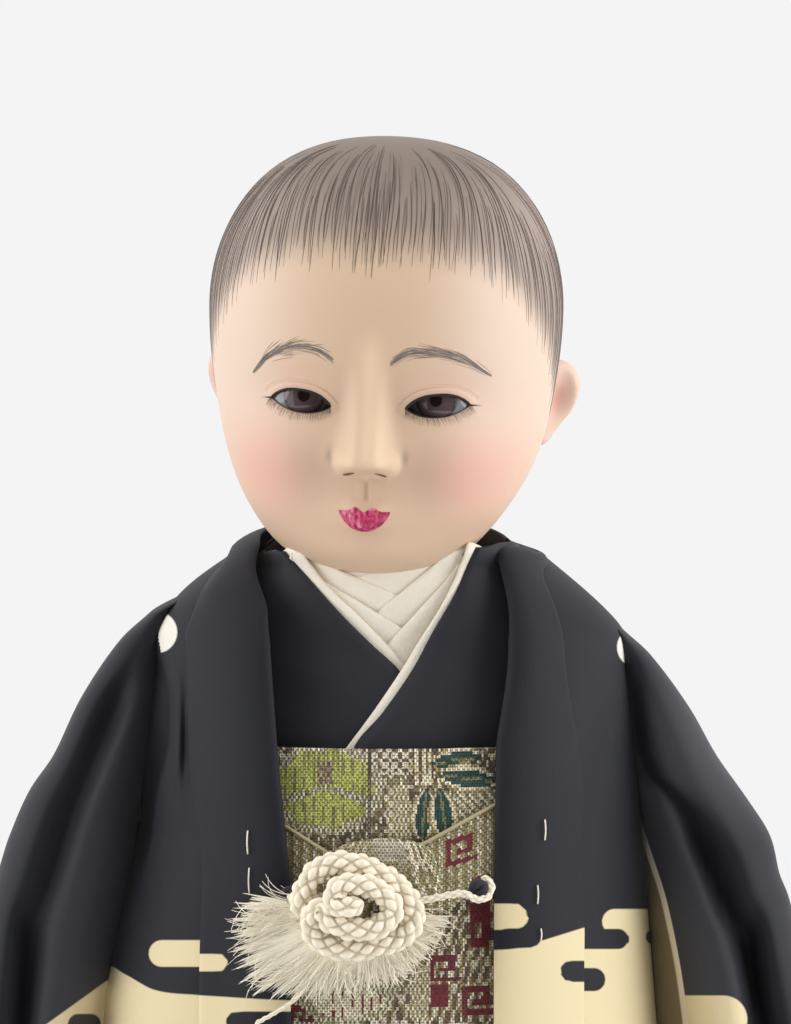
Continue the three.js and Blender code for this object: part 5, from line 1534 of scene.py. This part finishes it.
# The brocade's colours at (x across, z up) in the cloth: one repeat, laid from the ground up to the flowers.
def brocade(x, z, strap=False):
    x = (x + weave["wide"] / 2) % weave["wide"] - weave["wide"] / 2
    z = weave["foot"] + (z - weave["foot"]) % weave["tall"]
    i, j = np.floor(x / thread["wide"]), np.floor(z / thread["long"])
    beads = (i + j) % 2 == 0
    tone = np.zeros(x.shape + (3,)) + dyed("olive")

    def put(mask, name):
        tone[mask] = dyed(name)

    # Ground: beads of silver and gold over brown.
    low = (z < 258.5) | strap
    put((i + 2 * j) % 5 < 2, "brown")
    put(ripple(x, z, 5, 7) > 0.2, "shade")
    put((i - 2 * j) % 6 == 0, "silver")
    put(low & beads, "brown")
    put(low & (i % 4 == 1), "gold")
    put(low & ((i - j) % 4 == 0), "silver")
    if strap:
        put(i % 4 < 2, "silver")
        put(i % 4 == 2, "gold")
        put(i % 4 == 3, "olive")
        put((i % 4 < 2) & beads, "beige")

    # Key frets in wine, to the right and along the foot.
    frets = [(11.6, 250.4, 6.6), (8.2, 230.4, 6.4), (14.8, 223.6, 7.0), (-12.6, 220.4, 6.0), (-21.0, 219.8, 6.4)]
    for x0, z0, size in frets:
        box = (np.abs(x - x0 - size / 2) < size / 2) & (np.abs(z - z0 - size / 2) < size / 2)
        put(low & box & fretMask(x - x0, z - z0, size), "wine")
    hole = (np.abs(x - 18.2) < 0.8) & (np.abs(z - 241) < 1.6)
    put(low & (np.abs(x - 18.7) < 2.0) & (np.abs(z - 242) < 4.6) & ~hole, "wine")
    put(low & (np.abs(x - 10.3) < 1.8) & (np.abs(z - 227.4) < 2.2), "wine")
    rib = ((x > -0.9) & (x < 3.9) & (z < 271.3) & ~low) | ((x > 4.2) & (x < 8.2) & (z < 234))
    put(rib, "gold")
    put(rib & beads, "silver")
    put((np.abs(x + 0.9) < 0.3) & rib, "shade")
    right = (x > 12.8) & (z < 270.4) & ~low
    put(right, "olive")
    put(right & (((x + z) / 1.9) % 1 < 0.5), "silver")

    # Lozenges and stripes at the waist.
    lozenge = (x > -3.9) & (x < 4.8) & (z > 273)
    lines = (np.abs(((x + z) / 2.1) % 1 - 0.5) < 0.2) | (np.abs(((x - z) / 2.1) % 1 - 0.5) < 0.2)
    put(lozenge, "brown")
    put(lozenge & lines, "silver")
    stripes = (x >= 4.8) & (x < 8.5) & (z > 271)
    put(stripes, "cream")
    put(stripes & (i % 3 == 0), "brown")

    # Leaves edged in cream and gold.
    for place, half, wide, tilt in (
        ((14.0, 276.2), 5.4, 1.7, 8),
        ((16.0, 272.5), 6.0, 1.75, -6),
        ((6.9, 265.0), 5.6, 1.6, 84),
        ((10.9, 264.8), 5.8, 1.75, 98),
        ((-10, 246), 8, 3, 40),
        ((-16, 238), 8, 3, 70),
    ):
        share, across = leafShare(x, z, place, half, wide, tilt)
        shown = low == (place[1] < 258)
        put(shown & (share < 1.9), "gold")
        put(shown & (share < 1.5), "cream")
        put(shown & (share < 1.0), "teal")
        put(shown & (share < 0.85) & (np.abs(across) < 0.16), "moss")

    # Chrysanthemums: petals round a beaded heart, parted by a spread of silver.
    for place, wide, tall, petal, gap in (
        ((-13.4, 270.4), 9.0, 7.4, "lime", "moss"),
        ((-9, 231), 8.5, 7.5, "cream", "wine"),
    ):
        dx, dz = (x - place[0]) / wide, (z - place[1]) / tall
        shown = low == (place[1] < 258)
        reach = np.hypot(dx, dz)
        put(shown & (reach < 1.34), "olive")
        put(shown & (reach < 1.34) & beads, "silver")
        bloom = shown & (reach < 1.1 + 0.06 * np.cos(9 * np.arctan2(dz, dx)))
        put(bloom, petal)
        put(bloom & (i % 4 == 0) & (ripple(x, z, 3, 2) > -0.2), gap)
        put(bloom & (dz > 0.5) & (np.abs(dx) < 0.45) & (i % 2 == 0), "olive")
        spread = bloom & (np.abs(dz - 0.04 + 0.42 * np.abs(dx)) < 0.07 + 0.09 * np.abs(dx))
        put(spread, "olive")
        put(spread & beads, "silver")
        heart = bloom & (np.abs(dx) < 0.17) & (np.abs(dz - 0.42) < 0.34)
        put(heart, "brown")
        put(heart & beads, "beige")
    # A dark line where the front steps out, painted shade along the step.
    put((np.abs(x + 4.4) < 0.4) & ~low, "shade")
    return tone


brocadeSilk = newMaterial("brocade_silk", (0.4, 0.36, 0.25), 0.34, metallic=0.15, specular=0.6, sheen=0.1)


# Each thread float is a small raised upright brick of the UV map, painted lighter on the float as a highlight and
# darker in the gaps between threads as their shade.
def weaveBrocade():
    place = node(brocadeSilk, "ShaderNodeUVMap", uv_map="UVMap")
    brick = node(brocadeSilk, "ShaderNodeTexBrick", offset=0.5)
    for key in ("Scale", "Mortar Smooth", "Brick Width", "Row Height"):
        brick.inputs[key].default_value = 1
    brick.inputs["Mortar Size"].default_value = thread["gap"]
    bump = node(brocadeSilk, "ShaderNodeBump", invert=True)
    bump.inputs["Distance"].default_value = thread["raise"] * 0.001
    tone = node(brocadeSilk, "ShaderNodeAttribute", attribute_name="tone")
    # Painted light and shade: the floats' colour is raised 1.2 times and the gaps darkened to 0.4.
    depth = node(brocadeSilk, "ShaderNodeMapRange")
    depth.inputs["To Min"].default_value = 1.2
    depth.inputs["To Max"].default_value = 0.4
    shaded = node(brocadeSilk, "ShaderNodeVectorMath", operation="SCALE")
    link(brocadeSilk, place.outputs["UV"], brick.inputs["Vector"])
    link(brocadeSilk, brick.outputs["Fac"], bump.inputs["Height"])
    link(brocadeSilk, brick.outputs["Fac"], depth.inputs["Value"])
    link(brocadeSilk, tone.outputs["Color"], shaded.inputs[0])
    link(brocadeSilk, depth.outputs["Result"], shaded.inputs["Scale"])
    link(brocadeSilk, shaded.outputs["Vector"], shaderOf(brocadeSilk).inputs["Base Color"])
    link(brocadeSilk, bump.outputs["Normal"], shaderOf(brocadeSilk).inputs["Normal"])


weaveBrocade()


# A brocade cloth: its cells take the pattern at their own place (x across, z up) in the cloth, and the pattern's mean
# where they are larger than a thread. Each cell's tone is scaled at random as a painted glint, less in large cells.
def addBrocade(name, points, across, up, nodeName, strap=False):
    uCount, vCount = points.shape[:2]

    def inCell(part, s, t):
        return mix(mix(part[:-1, :-1], part[1:, :-1], s), mix(part[:-1, 1:], part[1:, 1:], s), t)

    places = [(s, t) for s in (1 / 6, 0.5, 5 / 6) for t in (1 / 6, 0.5, 5 / 6)]
    each = np.stack([brocade(inCell(across, *place), inCell(up, *place), strap) for place in places])
    size = np.abs(np.diff(across, axis=0)[:, 1:]) / thread["wide"] + np.abs(np.diff(up, axis=1)[1:]) / thread["long"]
    blurred = smooth(size, 1.6, 2.6)[..., None]
    tones = mix(each[4], each.mean(0), blurred) * random.uniform(mix(0.72, 0.9, blurred), mix(1.3, 1.1, blurred))
    tones = tones.reshape(-1, 3)
    uv = np.stack([up / thread["long"], across / thread["wide"]], -1)
    piece = addPiece(name, points, [gridFaces(uCount, vCount)], brocadeSilk, "torso", uv=uv, cellTones=tones)
    thicken(piece, weave["thickness"])
    if nodeName:
        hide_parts(nodeName)


hakamaForm = {"top": 281.2, "hem": 22.0, "inset": 3.0, "pleat": 2.2, "pleats": 10}


def addHakama():
    for name, turn, count, rows, wide in (("front", 0.0, 200, 240, 91.0), ("rear", math.pi, 190, 250, 92.5)):
        u, v = grid(count, rows)
        z, swing = mix(hakamaForm["top"], hakamaForm["hem"], v), mix(-wide, wide, u)
        if name == "front":
            z = through([(0, hakamaForm["top"]), (0.43, 214), (0.54, 190), (1, hakamaForm["hem"])])(v)
            swing = through([(0, -wide), (0.16, -38), (0.5, 0), (0.84, 38), (1, wide)])(u)
        angle = turn + np.radians(swing)
        share = (np.abs(swing) / 88.5 * hakamaForm["pleats"] / 2) % 1
        saw = np.where(share < 0.7, share / 0.7, (1 - share) / 0.3)
        deep = hakamaForm["pleat"] * (1 - saw) * mix(0.15, 1, smooth(278 - z, 15, 120))
        inset = hakamaForm["inset"] + deep + (name == "rear") * 1.3 * smooth(np.abs(swing), 84, 88.5)
        points = onBody(angle, z, inset)
        across = (angle - turn) * halfWidthAt(z) * 0.93
        up = z
        if name == "front":
            across, up = asSeen(points)
            fold = smooth(across, -4.6, -4.2) * smooth(up, 256, 262) * (1 - smooth(up, 271.5, 272.5))
            points = onBody(angle, z, inset - 0.9 * fold)
        nodeName = "hakama_front" if name == "front" else "hakama_back"
        addBrocade("hakama_" + name + "_cloth", points, across, up, nodeName)


tieForm = {
    "width": {"left": 14.0, "right": 11.0},
    "left": [(31, 270.4), (27, 269.2), (21.5, 267), (8.2, 259.7), (-3, 254)],
    "right": [(-31, 266.8), (-27, 265.2), (-21.9, 262.8), (-13.2, 257.4), (-4, 252)],
    "piping": 0.36,
}
boardForm = {"middle": 278.9, "half": 13.0, "halfWidth": 26.0, "taper": 0.72, "inset": 1.6}
pipingSilk = newMaterial("piping_silk", (0.42, 0.36, 0.21), 0.45, specular=0.5)
addGrain(pipingSilk, 0.4, 0.05)


# Ties: flat brocade straps that cross over the front, each with a gold piping along its upper edge.
def addTies():
    for name, inset in (("left", 1.1), ("right", 2.0)):
        wide = tieForm["width"][name]
        line = np.stack(seenOnBody(*np.array(tieForm[name], float).T, inset), 1)
        line = curveThrough(line)(np.linspace(0, 1, 110))
        away = np.gradient(line, axis=0)
        away /= np.linalg.norm(away, axis=1, keepdims=True)
        normal = np.stack([away[:, 1], -away[:, 0]], 1)
        normal *= -np.sign(normal[:, 1:2])
        drop = np.linspace(0, wide, 27)
        path = line[:, None] + normal[:, None] * drop[None, :, None]
        x, z = path[..., 0], path[..., 1]
        puff = 0.9 * np.sin(drop / wide * math.pi)[None] * bell(x - 3, 16)
        points = onBody(angleAt(x, z, inset), z, inset - puff)
        across, up = asSeen(points)
        addBrocade(name + "_tie", points, across, up - 0.3 * across, "hakama_" + name + "_tie", True)
        edge = onBody(angleAt(line[:, 0], line[:, 1], inset), line[:, 1], inset - 0.35)
        tube, groups = bars(edge[None], np.full((1, 110), tieForm["piping"]), 8)
        piping = addPiece(name + "_tie_piping", tube, groups, pipingSilk, "torso", edge.mean(0))

    # The tied lump where the straps cross, drawn into curved ribs.
    u, v = grid(40, 26)
    turn, rise = (2 * u - 1) * math.pi / 2, (2 * v - 1) * math.pi / 2
    x = -1.6 + 11.5 * np.sin(turn) * np.cos(rise * 0.5)
    z = 257.2 - 6.4 * np.sin(rise) - 0.02 * (x + 1) ** 2
    swell = 2.2 * np.cos(turn) ** 0.6 * np.cos(rise) ** 0.6
    swell = swell + 0.3 * np.sin(x * 1.5 + 0.3 * z) * np.cos(rise) * np.cos(turn)
    points = onBody(angleAt(x, z, 1.0), z, 1.0 - swell)
    addBrocade("tie_knot", points, x + 0.06 * (z - 257) * (x + 1.6), z + 14, None, True)

    # The stiff board at the back of the waist, narrower above.
    u, v = grid(70, 24)
    z = mix(boardForm["middle"] + boardForm["half"], boardForm["middle"] - boardForm["half"], v)
    x = (2 * u - 1) * boardForm["halfWidth"] * mix(boardForm["taper"], 1, v)
    angle = math.pi - angleAt(x, z, 0)
    points = onBody(angle, z, boardForm["inset"])
    addBrocade("back_board_cloth", points, x, z, "hakama_back_board")


addHakama()
addTies()
print("hakama made")


# Haori cord: braided ends from two loops, wound into a flat rosette in front, with a fan of loose silk behind it

cordForm = {
    "radius": 2.45,
    "around": 4,
    "row": 2.0,
    "thin": {"right": 1.25, "left": 0.8},
    "silk": (0.9, 0.82, 0.66),
    # gap: the colour between the beads, painted shade.
    "gap": (0.66, 0.56, 0.39),
    "loop": {"left": (18.3, -45.4, 249.6), "right": (-20.8, -43.4, 248.2)},
}
# The turns of the rosette, the thin ends and the tail: the picture plane's x, the depth y and the picture plane's z.
rosetteLine = [
    (-18.2, -46.4, 243.4), (-18.3, -46.6, 247.5), (-16.2, -47.0, 252.2), (-12.2, -47.4, 254.8), (-7.2, -47.6, 254.7),
    (-1.7, -47.4, 252.5), (2.7, -47.2, 249.0), (5.0, -47.0, 244.3), (3.0, -47.2, 240.0), (-2.2, -47.6, 238.0),
    (-8.8, -47.6, 237.0), (-14.4, -47.4, 238.8), (-16.4, -48.2, 242.6), (-14.2, -50.0, 245.6), (-12.0, -50.8, 242.6),
    (-7.4, -51.2, 241.2), (-2.0, -51.0, 241.9), (0.6, -50.6, 245.0), (-1.6, -50.6, 248.6), (-5.8, -51.0, 250.4),
    (-10.2, -51.4, 250.0), (-11.6, -52.0, 247.2), (-8.8, -52.8, 245.8), (-5.4, -52.4, 246.8),
]
endLines = {
    "right": [(-21.0, -43.4, 247.4), (-19.4, -45.4, 247.6), (-16, -46.2, 247.6), (-10, -45.6, 247)],
    "left": [
        (18.8, -43.6, 252.0), (20.5, -44.4, 251.2), (21.0, -45.2, 249.5), (20.0, -46.0, 247.8), (18.0, -46.8, 247.4),
        (15.2, -47.4, 248.6), (10.5, -47.6, 247.9), (3, -46.4, 246.4),
    ],
}
tailLine = [(-15, -43.8, 233), (-19, -44.4, 227.4), (-23, -43.6, 224.4), (-28, -42, 221.6)]


# A braided cord along a path: its surface bulges into beads in staggered rows, painted darker between them as their
# shade, and it closes at both ends.
def braid(path, radius, around, row, sides=40):
    along = np.gradient(path, axis=0)
    run = np.concatenate([[0], np.cumsum(np.linalg.norm(np.diff(path, axis=0), axis=1))])
    along /= np.linalg.norm(along, axis=1, keepdims=True)
    front = np.array([0, -1.0, 0]) - along * (along @ np.array([0, -1.0, 0]))[:, None]
    front /= np.linalg.norm(front, axis=1, keepdims=True)
    side = np.cross(along, front)
    turn = np.arange(sides) / sides * 2 * math.pi
    lean = turn[None] + run[:, None] * 0.1
    bead = np.abs(np.cos(around * lean) + np.cos(math.pi * run / row)[:, None]) / 2
    ends = np.sqrt(np.clip(np.minimum(run, run[-1] - run) / radius, 0.0004, 1))
    reach = radius * (0.6 + 0.46 * bead**0.65) * ends[:, None]
    # Painted shade between the beads: the gaps take the darker colour.
    tones = mix(np.array(cordForm["gap"]), np.array(cordForm["silk"]), smooth(bead, 0.0, 0.4)[..., None])
    ring = front[:, None] * np.cos(turn)[:, None] + side[:, None] * np.sin(turn)[:, None]
    points = path[:, None] + reach[..., None] * ring
    groups = tubeFaces(sides, len(path))
    middle = np.repeat(path[None], sides, axis=0).reshape(-1, 3)
    return points.transpose(1, 0, 2).reshape(-1, 3), groups, middle, tones.transpose(1, 0, 2)


# A path in space through the points of such a line.
def seenPath(line, steps):
    x, y, z = np.array(line, float).T
    tx, tz = fromSeen(x, z, y)
    return curveThrough(np.stack([tx, y, tz], 1))(np.linspace(0, 1, steps))


def addRosette():
    path = seenPath(rosetteLine, 620)
    points, groups, middle, tones = braid(path, cordForm["radius"], cordForm["around"], cordForm["row"])
    rosette = addPiece("rosette", points, groups, cordSilk, "torso", middle, tones=tones)
    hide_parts("cord_rosette")
    length = np.linalg.norm(np.diff(path, axis=0), axis=1).sum()

    # Thin ends: from each loop to the rosette, the left one turned round through its loop.
    ends = []
    for name, line in endLines.items():
        thinPath, thin = seenPath(line, 150), cordForm["thin"][name]
        points, groups, middle, tones = braid(thinPath, thin, 3, 1.1, 20)
        piece = addPiece(name + "_cord_end", points, groups, cordSilk, "torso", middle, tones=tones)
        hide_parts(name + "_cord")
        ends.append(piece)

    # Loops: small black rings of cloth sewn to the band's inner edges.
    for name in ("left", "right"):
        seenX, y, seenZ = cordForm["loop"][name]
        x, z = fromSeen(seenX, seenZ, y)
        place = np.array([x, y, z])
        around = np.linspace(0, 2 * math.pi, 73)
        ring = place + np.stack([1.1 * np.cos(around), 0.3 * np.sin(2 * around), 1.0 * np.sin(around)], 1)
        points, groups = bars(ring[None], np.full((1, 73), 0.95), 10, side=np.array([0, 1.0, 0.02]))
        piece = addPiece(name + "_ring", points, groups, blackSilk, "torso", place)
        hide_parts(name + "_cord_loop")
        ends.append(piece)

    tail = seenPath(tailLine, 40)
    points, groups, middle, tones = braid(tail, 0.5, 3, 0.8, 12)
    piece = addPiece("cord_tail", points, groups, cordSilk, "torso", middle, tones=tones)
    ends.append(piece)
    return rosette, path, length, ends


# Tassel: fine strands that fan out from behind the rosette, longest to the lower left, and sag a little.
tasselForm = {
    "strands": 360,
    "tufts": 46,
    "from": 166.0,
    "to": 362.0,
    "thick": 0.12,
    "middle": (-5.6, 244.6),
    "squash": 0.95,
    "silk": (1.0, 0.925, 0.75),
}
tasselReach = through(
    [
        (166, 25), (180, 27.5), (190, 28.4), (205, 29.4), (216, 29.6), (230, 25.5), (245, 21.2), (267, 17.6),
        (296, 17.4), (325, 17.2), (346, 18.4), (362, 19.6),
    ]
)
tasselSilk = newMaterial("tassel_silk", (1.0, 0.94, 0.8), 0.42, specular=0.4, sheen=0.5)
useTones(tasselSilk)


def addTassel():
    count, steps = tasselForm["strands"], 14
    middleX, middleZ = tasselForm["middle"]
    tuft = random.integers(0, tasselForm["tufts"], count)
    tuftTurn = mix(tasselForm["from"], tasselForm["to"], (np.arange(tasselForm["tufts"]) + 0.5) / tasselForm["tufts"])
    tuftTurn = tuftTurn + random.normal(0, 1.6, tasselForm["tufts"])
    tuftReach = random.uniform(0.86, 1.04, tasselForm["tufts"])
    degrees = tuftTurn[tuft] + random.normal(0, 2.6, count)
    reach = tasselReach(np.clip(degrees, tasselForm["from"], tasselForm["to"])) * tuftReach[tuft]
    reach = reach * random.uniform(0.78, 1.02, count)
    t = np.linspace(0, 1, steps)
    bend = random.normal(0, 3.0, count) + random.normal(0, 5.0, tasselForm["tufts"])[tuft]
    turn = np.radians(degrees[:, None] + bend[:, None] * t * t)
    start = (reach * random.uniform(0.5, 0.88, count))[:, None]
    r = mix(start, reach[:, None], t)
    wave = random.normal(0, 0.4, count)[:, None] * np.sin(3.0 * t + random.uniform(0, 6, count)[:, None])
    x = middleX + r * np.cos(turn) - wave * np.sin(turn)
    z = middleZ + r * np.sin(turn) * tasselForm["squash"] + wave * np.cos(turn) - t * t
    layer = random.uniform(0, 1, count)[:, None]
    y = -44.5 - 0.55 * layer * np.sin(math.pi * np.clip(t, 0, 0.9)) ** 0.6 - 0.25 * layer
    y = y + 0.9 * smooth(t, 0.55, 1.0) * (1 - layer)
    x, z = fromSeen(x, z, y)
    paths = np.stack([x, y, z], -1)
    radius = tasselForm["thick"] * random.uniform(0.6, 1.2, count)[:, None] * mix(1, 0.5, t)[None]
    points, groups = bars(paths, radius, 3)

    # The soft mass between the strands: a thin ribbed fan that ends in rags.
    u, v = grid(700, 30)
    degrees = mix(tasselForm["from"] + 4, tasselForm["to"] - 4, u)
    rag = 0.9 + 0.05 * np.sin(degrees * 0.9) + 0.04 * np.sin(degrees * 2.3 + 1)
    rag = rag + 0.04 * np.sin(degrees * 5.1) + 0.03 * np.sin(degrees * 11.7)
    r = mix(2.0, tasselReach(degrees) * rag, v)
    turn = np.radians(degrees)
    rib = 0.14 * np.sin(degrees * 0.35 + 2 * np.sin(v * 3)) + 0.05 * np.sin(degrees * 2.9 + 3 * v)
    rib = rib + 0.02 * np.sin(degrees * 7.3)
    bulge = np.clip(1 - v**5, 0, 1) * np.sin(u * math.pi) ** 0.25
    layers = []
    for facing in (1, -1):
        y = -43.9 - 0.95 * facing * bulge - rib * (facing > 0) * np.sin(v * math.pi)
        x, z = fromSeen(middleX + r * np.cos(turn), middleZ + r * np.sin(turn) * tasselForm["squash"], y)
        layers.append(np.stack([x, y, z], -1).reshape(-1, 3))
    count = len(points)
    fan = gridFaces(700, 30)
    groups = groups + [facingOut(layers[0], [fan], np.array([-6, 0, 244.0]))[0] + count]
    groups = groups + [facingOut(layers[1], [fan], np.array([-6, -90, 244.0]))[0] + count + len(layers[0])]
    lean = degrees + 3 * np.sin(2.2 * v + 0.1 * degrees)
    fibre = 0.95 + 0.05 * np.sin(lean * 6.1) + 0.05 * np.sin(lean * 13.7 + 2) + 0.07 * ripple(lean * 0.8, 9 * v, 7, 5)
    silk = np.array(tasselForm["silk"])
    soft = (np.clip(fibre, 0.7, 1)[..., None] * silk).reshape(-1, 3)
    tones = np.concatenate([np.broadcast_to(silk, points.shape), soft, soft])
    points = np.concatenate([points, *layers])
    tassel = addPiece("tassel", points, groups, tasselSilk, "torso", np.array([-6, -40, 246.0]), tones=tones)
    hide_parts("cord_tassel")
    return tassel


rosette, rosettePath, rosetteLength, cordEnds = addRosette()
tassel = addTassel()


# Basting: short white stitches left in the haori's fronts.
def addStitches():
    lines = [(-29.2, 261.7, 256.8), (-28.9, 254.0, 248.7)]
    lines += [(31.8, 264.0, 259.7), (30.3, 250.4, 246.5), (31.0, 241.4, 239.0)]
    t = np.linspace(0, 1, 8)
    paths = []
    for x, high, low in lines:
        tx, tz = seenOnBody(x + 0 * t, mix(high, low, t), -2.5)
        paths.append(onBody(angleAt(tx, tz, -2.5), tz, -2.95 - 0.25 * np.sin(math.pi * t)))
    points, groups = bars(np.array(paths), np.full((len(lines), 8), 0.16), 6)
    tones = np.broadcast_to(np.array(cordForm["silk"]), points.shape)
    piece = addPiece("basting", points, groups, cordSilk, "torso", np.array([0, 0, 250.0]), tones=tones)


addStitches()
print("cord made")


# Stuffed body under the clothes: turned forms of muslin, and cotton tabi on the feet


bodyForm = {"fill": 0.8, "tabiFill": 0.9, "legAside": 16.5, "sides": 64, "steps": 60}


# A stuffed limb: rings round a centre line, half as wide and deep as given along it, drawn in at both ends.
def stuffed(name, centreLine, wide, deep, nodeName, body):
    sides, steps = bodyForm["sides"], bodyForm["steps"]
    t = np.linspace(0, 1, steps)
    line = curveThrough(centreLine)(t)
    turn = np.arange(sides) / sides * 2 * math.pi
    round_ = np.clip(1 - np.abs(2 * t - 1) ** 14, 0.0004, 1) ** 0.5
    crease = 1 + 0.012 * np.sin(9 * turn)[:, None] * np.sin(t * math.pi)[None]
    w, d = through(wide)(t) * round_, through(deep)(t) * round_
    x = line[:, 0] + np.cos(turn)[:, None] * w * crease
    y = line[:, 1] + np.sin(turn)[:, None] * d * crease
    z = line[:, 2] + 0 * x
    points = np.stack([x, y, z], -1)
    middle = (line[None] + np.zeros((sides, 1, 1))).reshape(-1, 3)
    piece = addPiece(name, points, tubeFaces(sides, steps), muslin, body, middle)
    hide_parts(nodeName)


def addBody():
    low, high = (np.array(c) * 1000 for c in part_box("midriff"))
    half = (high - low) / 2
    line = [(0, 0, low[2]), (0, 0, (low[2] + high[2]) / 2), (0, 0, high[2])]
    wide, deep = ([(0, half[k]), (1, half[k])] for k in (0, 1))
    stuffed("stuffed_middle", line, wide, deep, "midriff", "torso")
    for side, name in ((1, "left"), (-1, "right")):
        low, high = (np.array(c) * 1000 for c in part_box(name + "_thigh"))
        x = side * bodyForm["legAside"]
        line = [(x, 0, low[2]), (x, 0, (low[2] + high[2]) / 2), (x, 0, high[2])]
        around = [(0, 10.0), (0.45, 12.6), (0.8, 13.3), (0.93, 10), (1, 4)]
        stuffed(name + "_stuffed_thigh", line, around, around, name + "_thigh", name + "_leg")
        low, high = (np.array(c) * 1000 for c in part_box(name + "_upper_arm"))
        path = [(45, 0, 290), (53, 0, 287.5), (59, -0.6, 281), (62.5, -1.2, 271), (66, -2.6, 258), (70, -4, low[2] + 1)]
        line = np.array(path) * np.array([side, 1, 1])
        around = [(0, 6.0), (0.2, 6.4), (0.7, 6.4), (1, 5.4)]
        stuffed(name + "_stuffed_arm", line, around, around, name + "_upper_arm", name + "_arm")


# A tabi: a split-toed sock, a low foot from heel to toe that rises into an ankle cuff.
def addTabi():
    wide = through([(0, 0.35), (0.06, 0.64), (0.2, 0.8), (0.45, 0.86), (0.7, 1), (0.88, 0.94), (0.97, 0.68), (1, 0.4)])
    tall = through([(0, 0.7), (0.08, 0.9), (0.22, 1), (0.45, 0.92), (0.7, 0.74), (0.9, 0.58), (1, 0.36)])
    sides, steps, cuffSteps = bodyForm["sides"], bodyForm["steps"], 24
    turn = np.linspace(0, 2 * math.pi, sides + 1)[:-1]
    s, v = np.linspace(0, 1, steps), np.linspace(0, 1, cuffSteps)
    for side, name in ((1, "left"), (-1, "right")):
        x0 = side * bodyForm["legAside"]
        split = 1.6 * bell((np.cos(turn)[:, None] * side * -1 - 0.32), 0.12) * smooth(s, 0.78, 0.86)[None]
        x = x0 + 10 * wide(s)[None] * np.cos(turn)[:, None]
        y = 14 - 48 * s[None] + 0 * x
        arch = np.clip(np.sin(turn), 0, 1)[:, None] ** 0.8
        z = np.maximum(0.02, 15.1 * tall(s)[None] * arch - split * (arch > 0.2))
        foot = np.stack([x, y, z], -1)
        cuffX = x0 + np.cos(turn)[:, None] * mix(8.6, 7.9, v)[None]
        cuffY = np.sin(turn)[:, None] * mix(8.8, 7.9, v)[None]
        cuff = np.stack([cuffX, cuffY, 9 + 27 * v[None] + 0 * cuffX], -1)
        points = np.concatenate([foot.reshape(-1, 3), cuff.reshape(-1, 3)])
        groups = tubeFaces(sides, steps)
        groups.append(gridFaces(sides, cuffSteps, True) + sides * steps)
        groups.append((np.arange(sides)[::-1] * cuffSteps + cuffSteps - 1 + sides * steps)[None])
        piece = addPiece(name + "_sock", points, groups, whiteCotton, name + "_leg", np.array([x0, -8, 6.0]))
        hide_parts(name + "_tabi")


handPaint = newMaterial("gofun_hand", (0.72, 0.54, 0.4), 0.5, specular=0.25)
for name in ("left_forearm", "right_forearm"):
    bpy.data.objects[name].data.materials.clear()
    bpy.data.objects[name].data.materials.append(handPaint)
addBody()
addTabi()
print("body made")
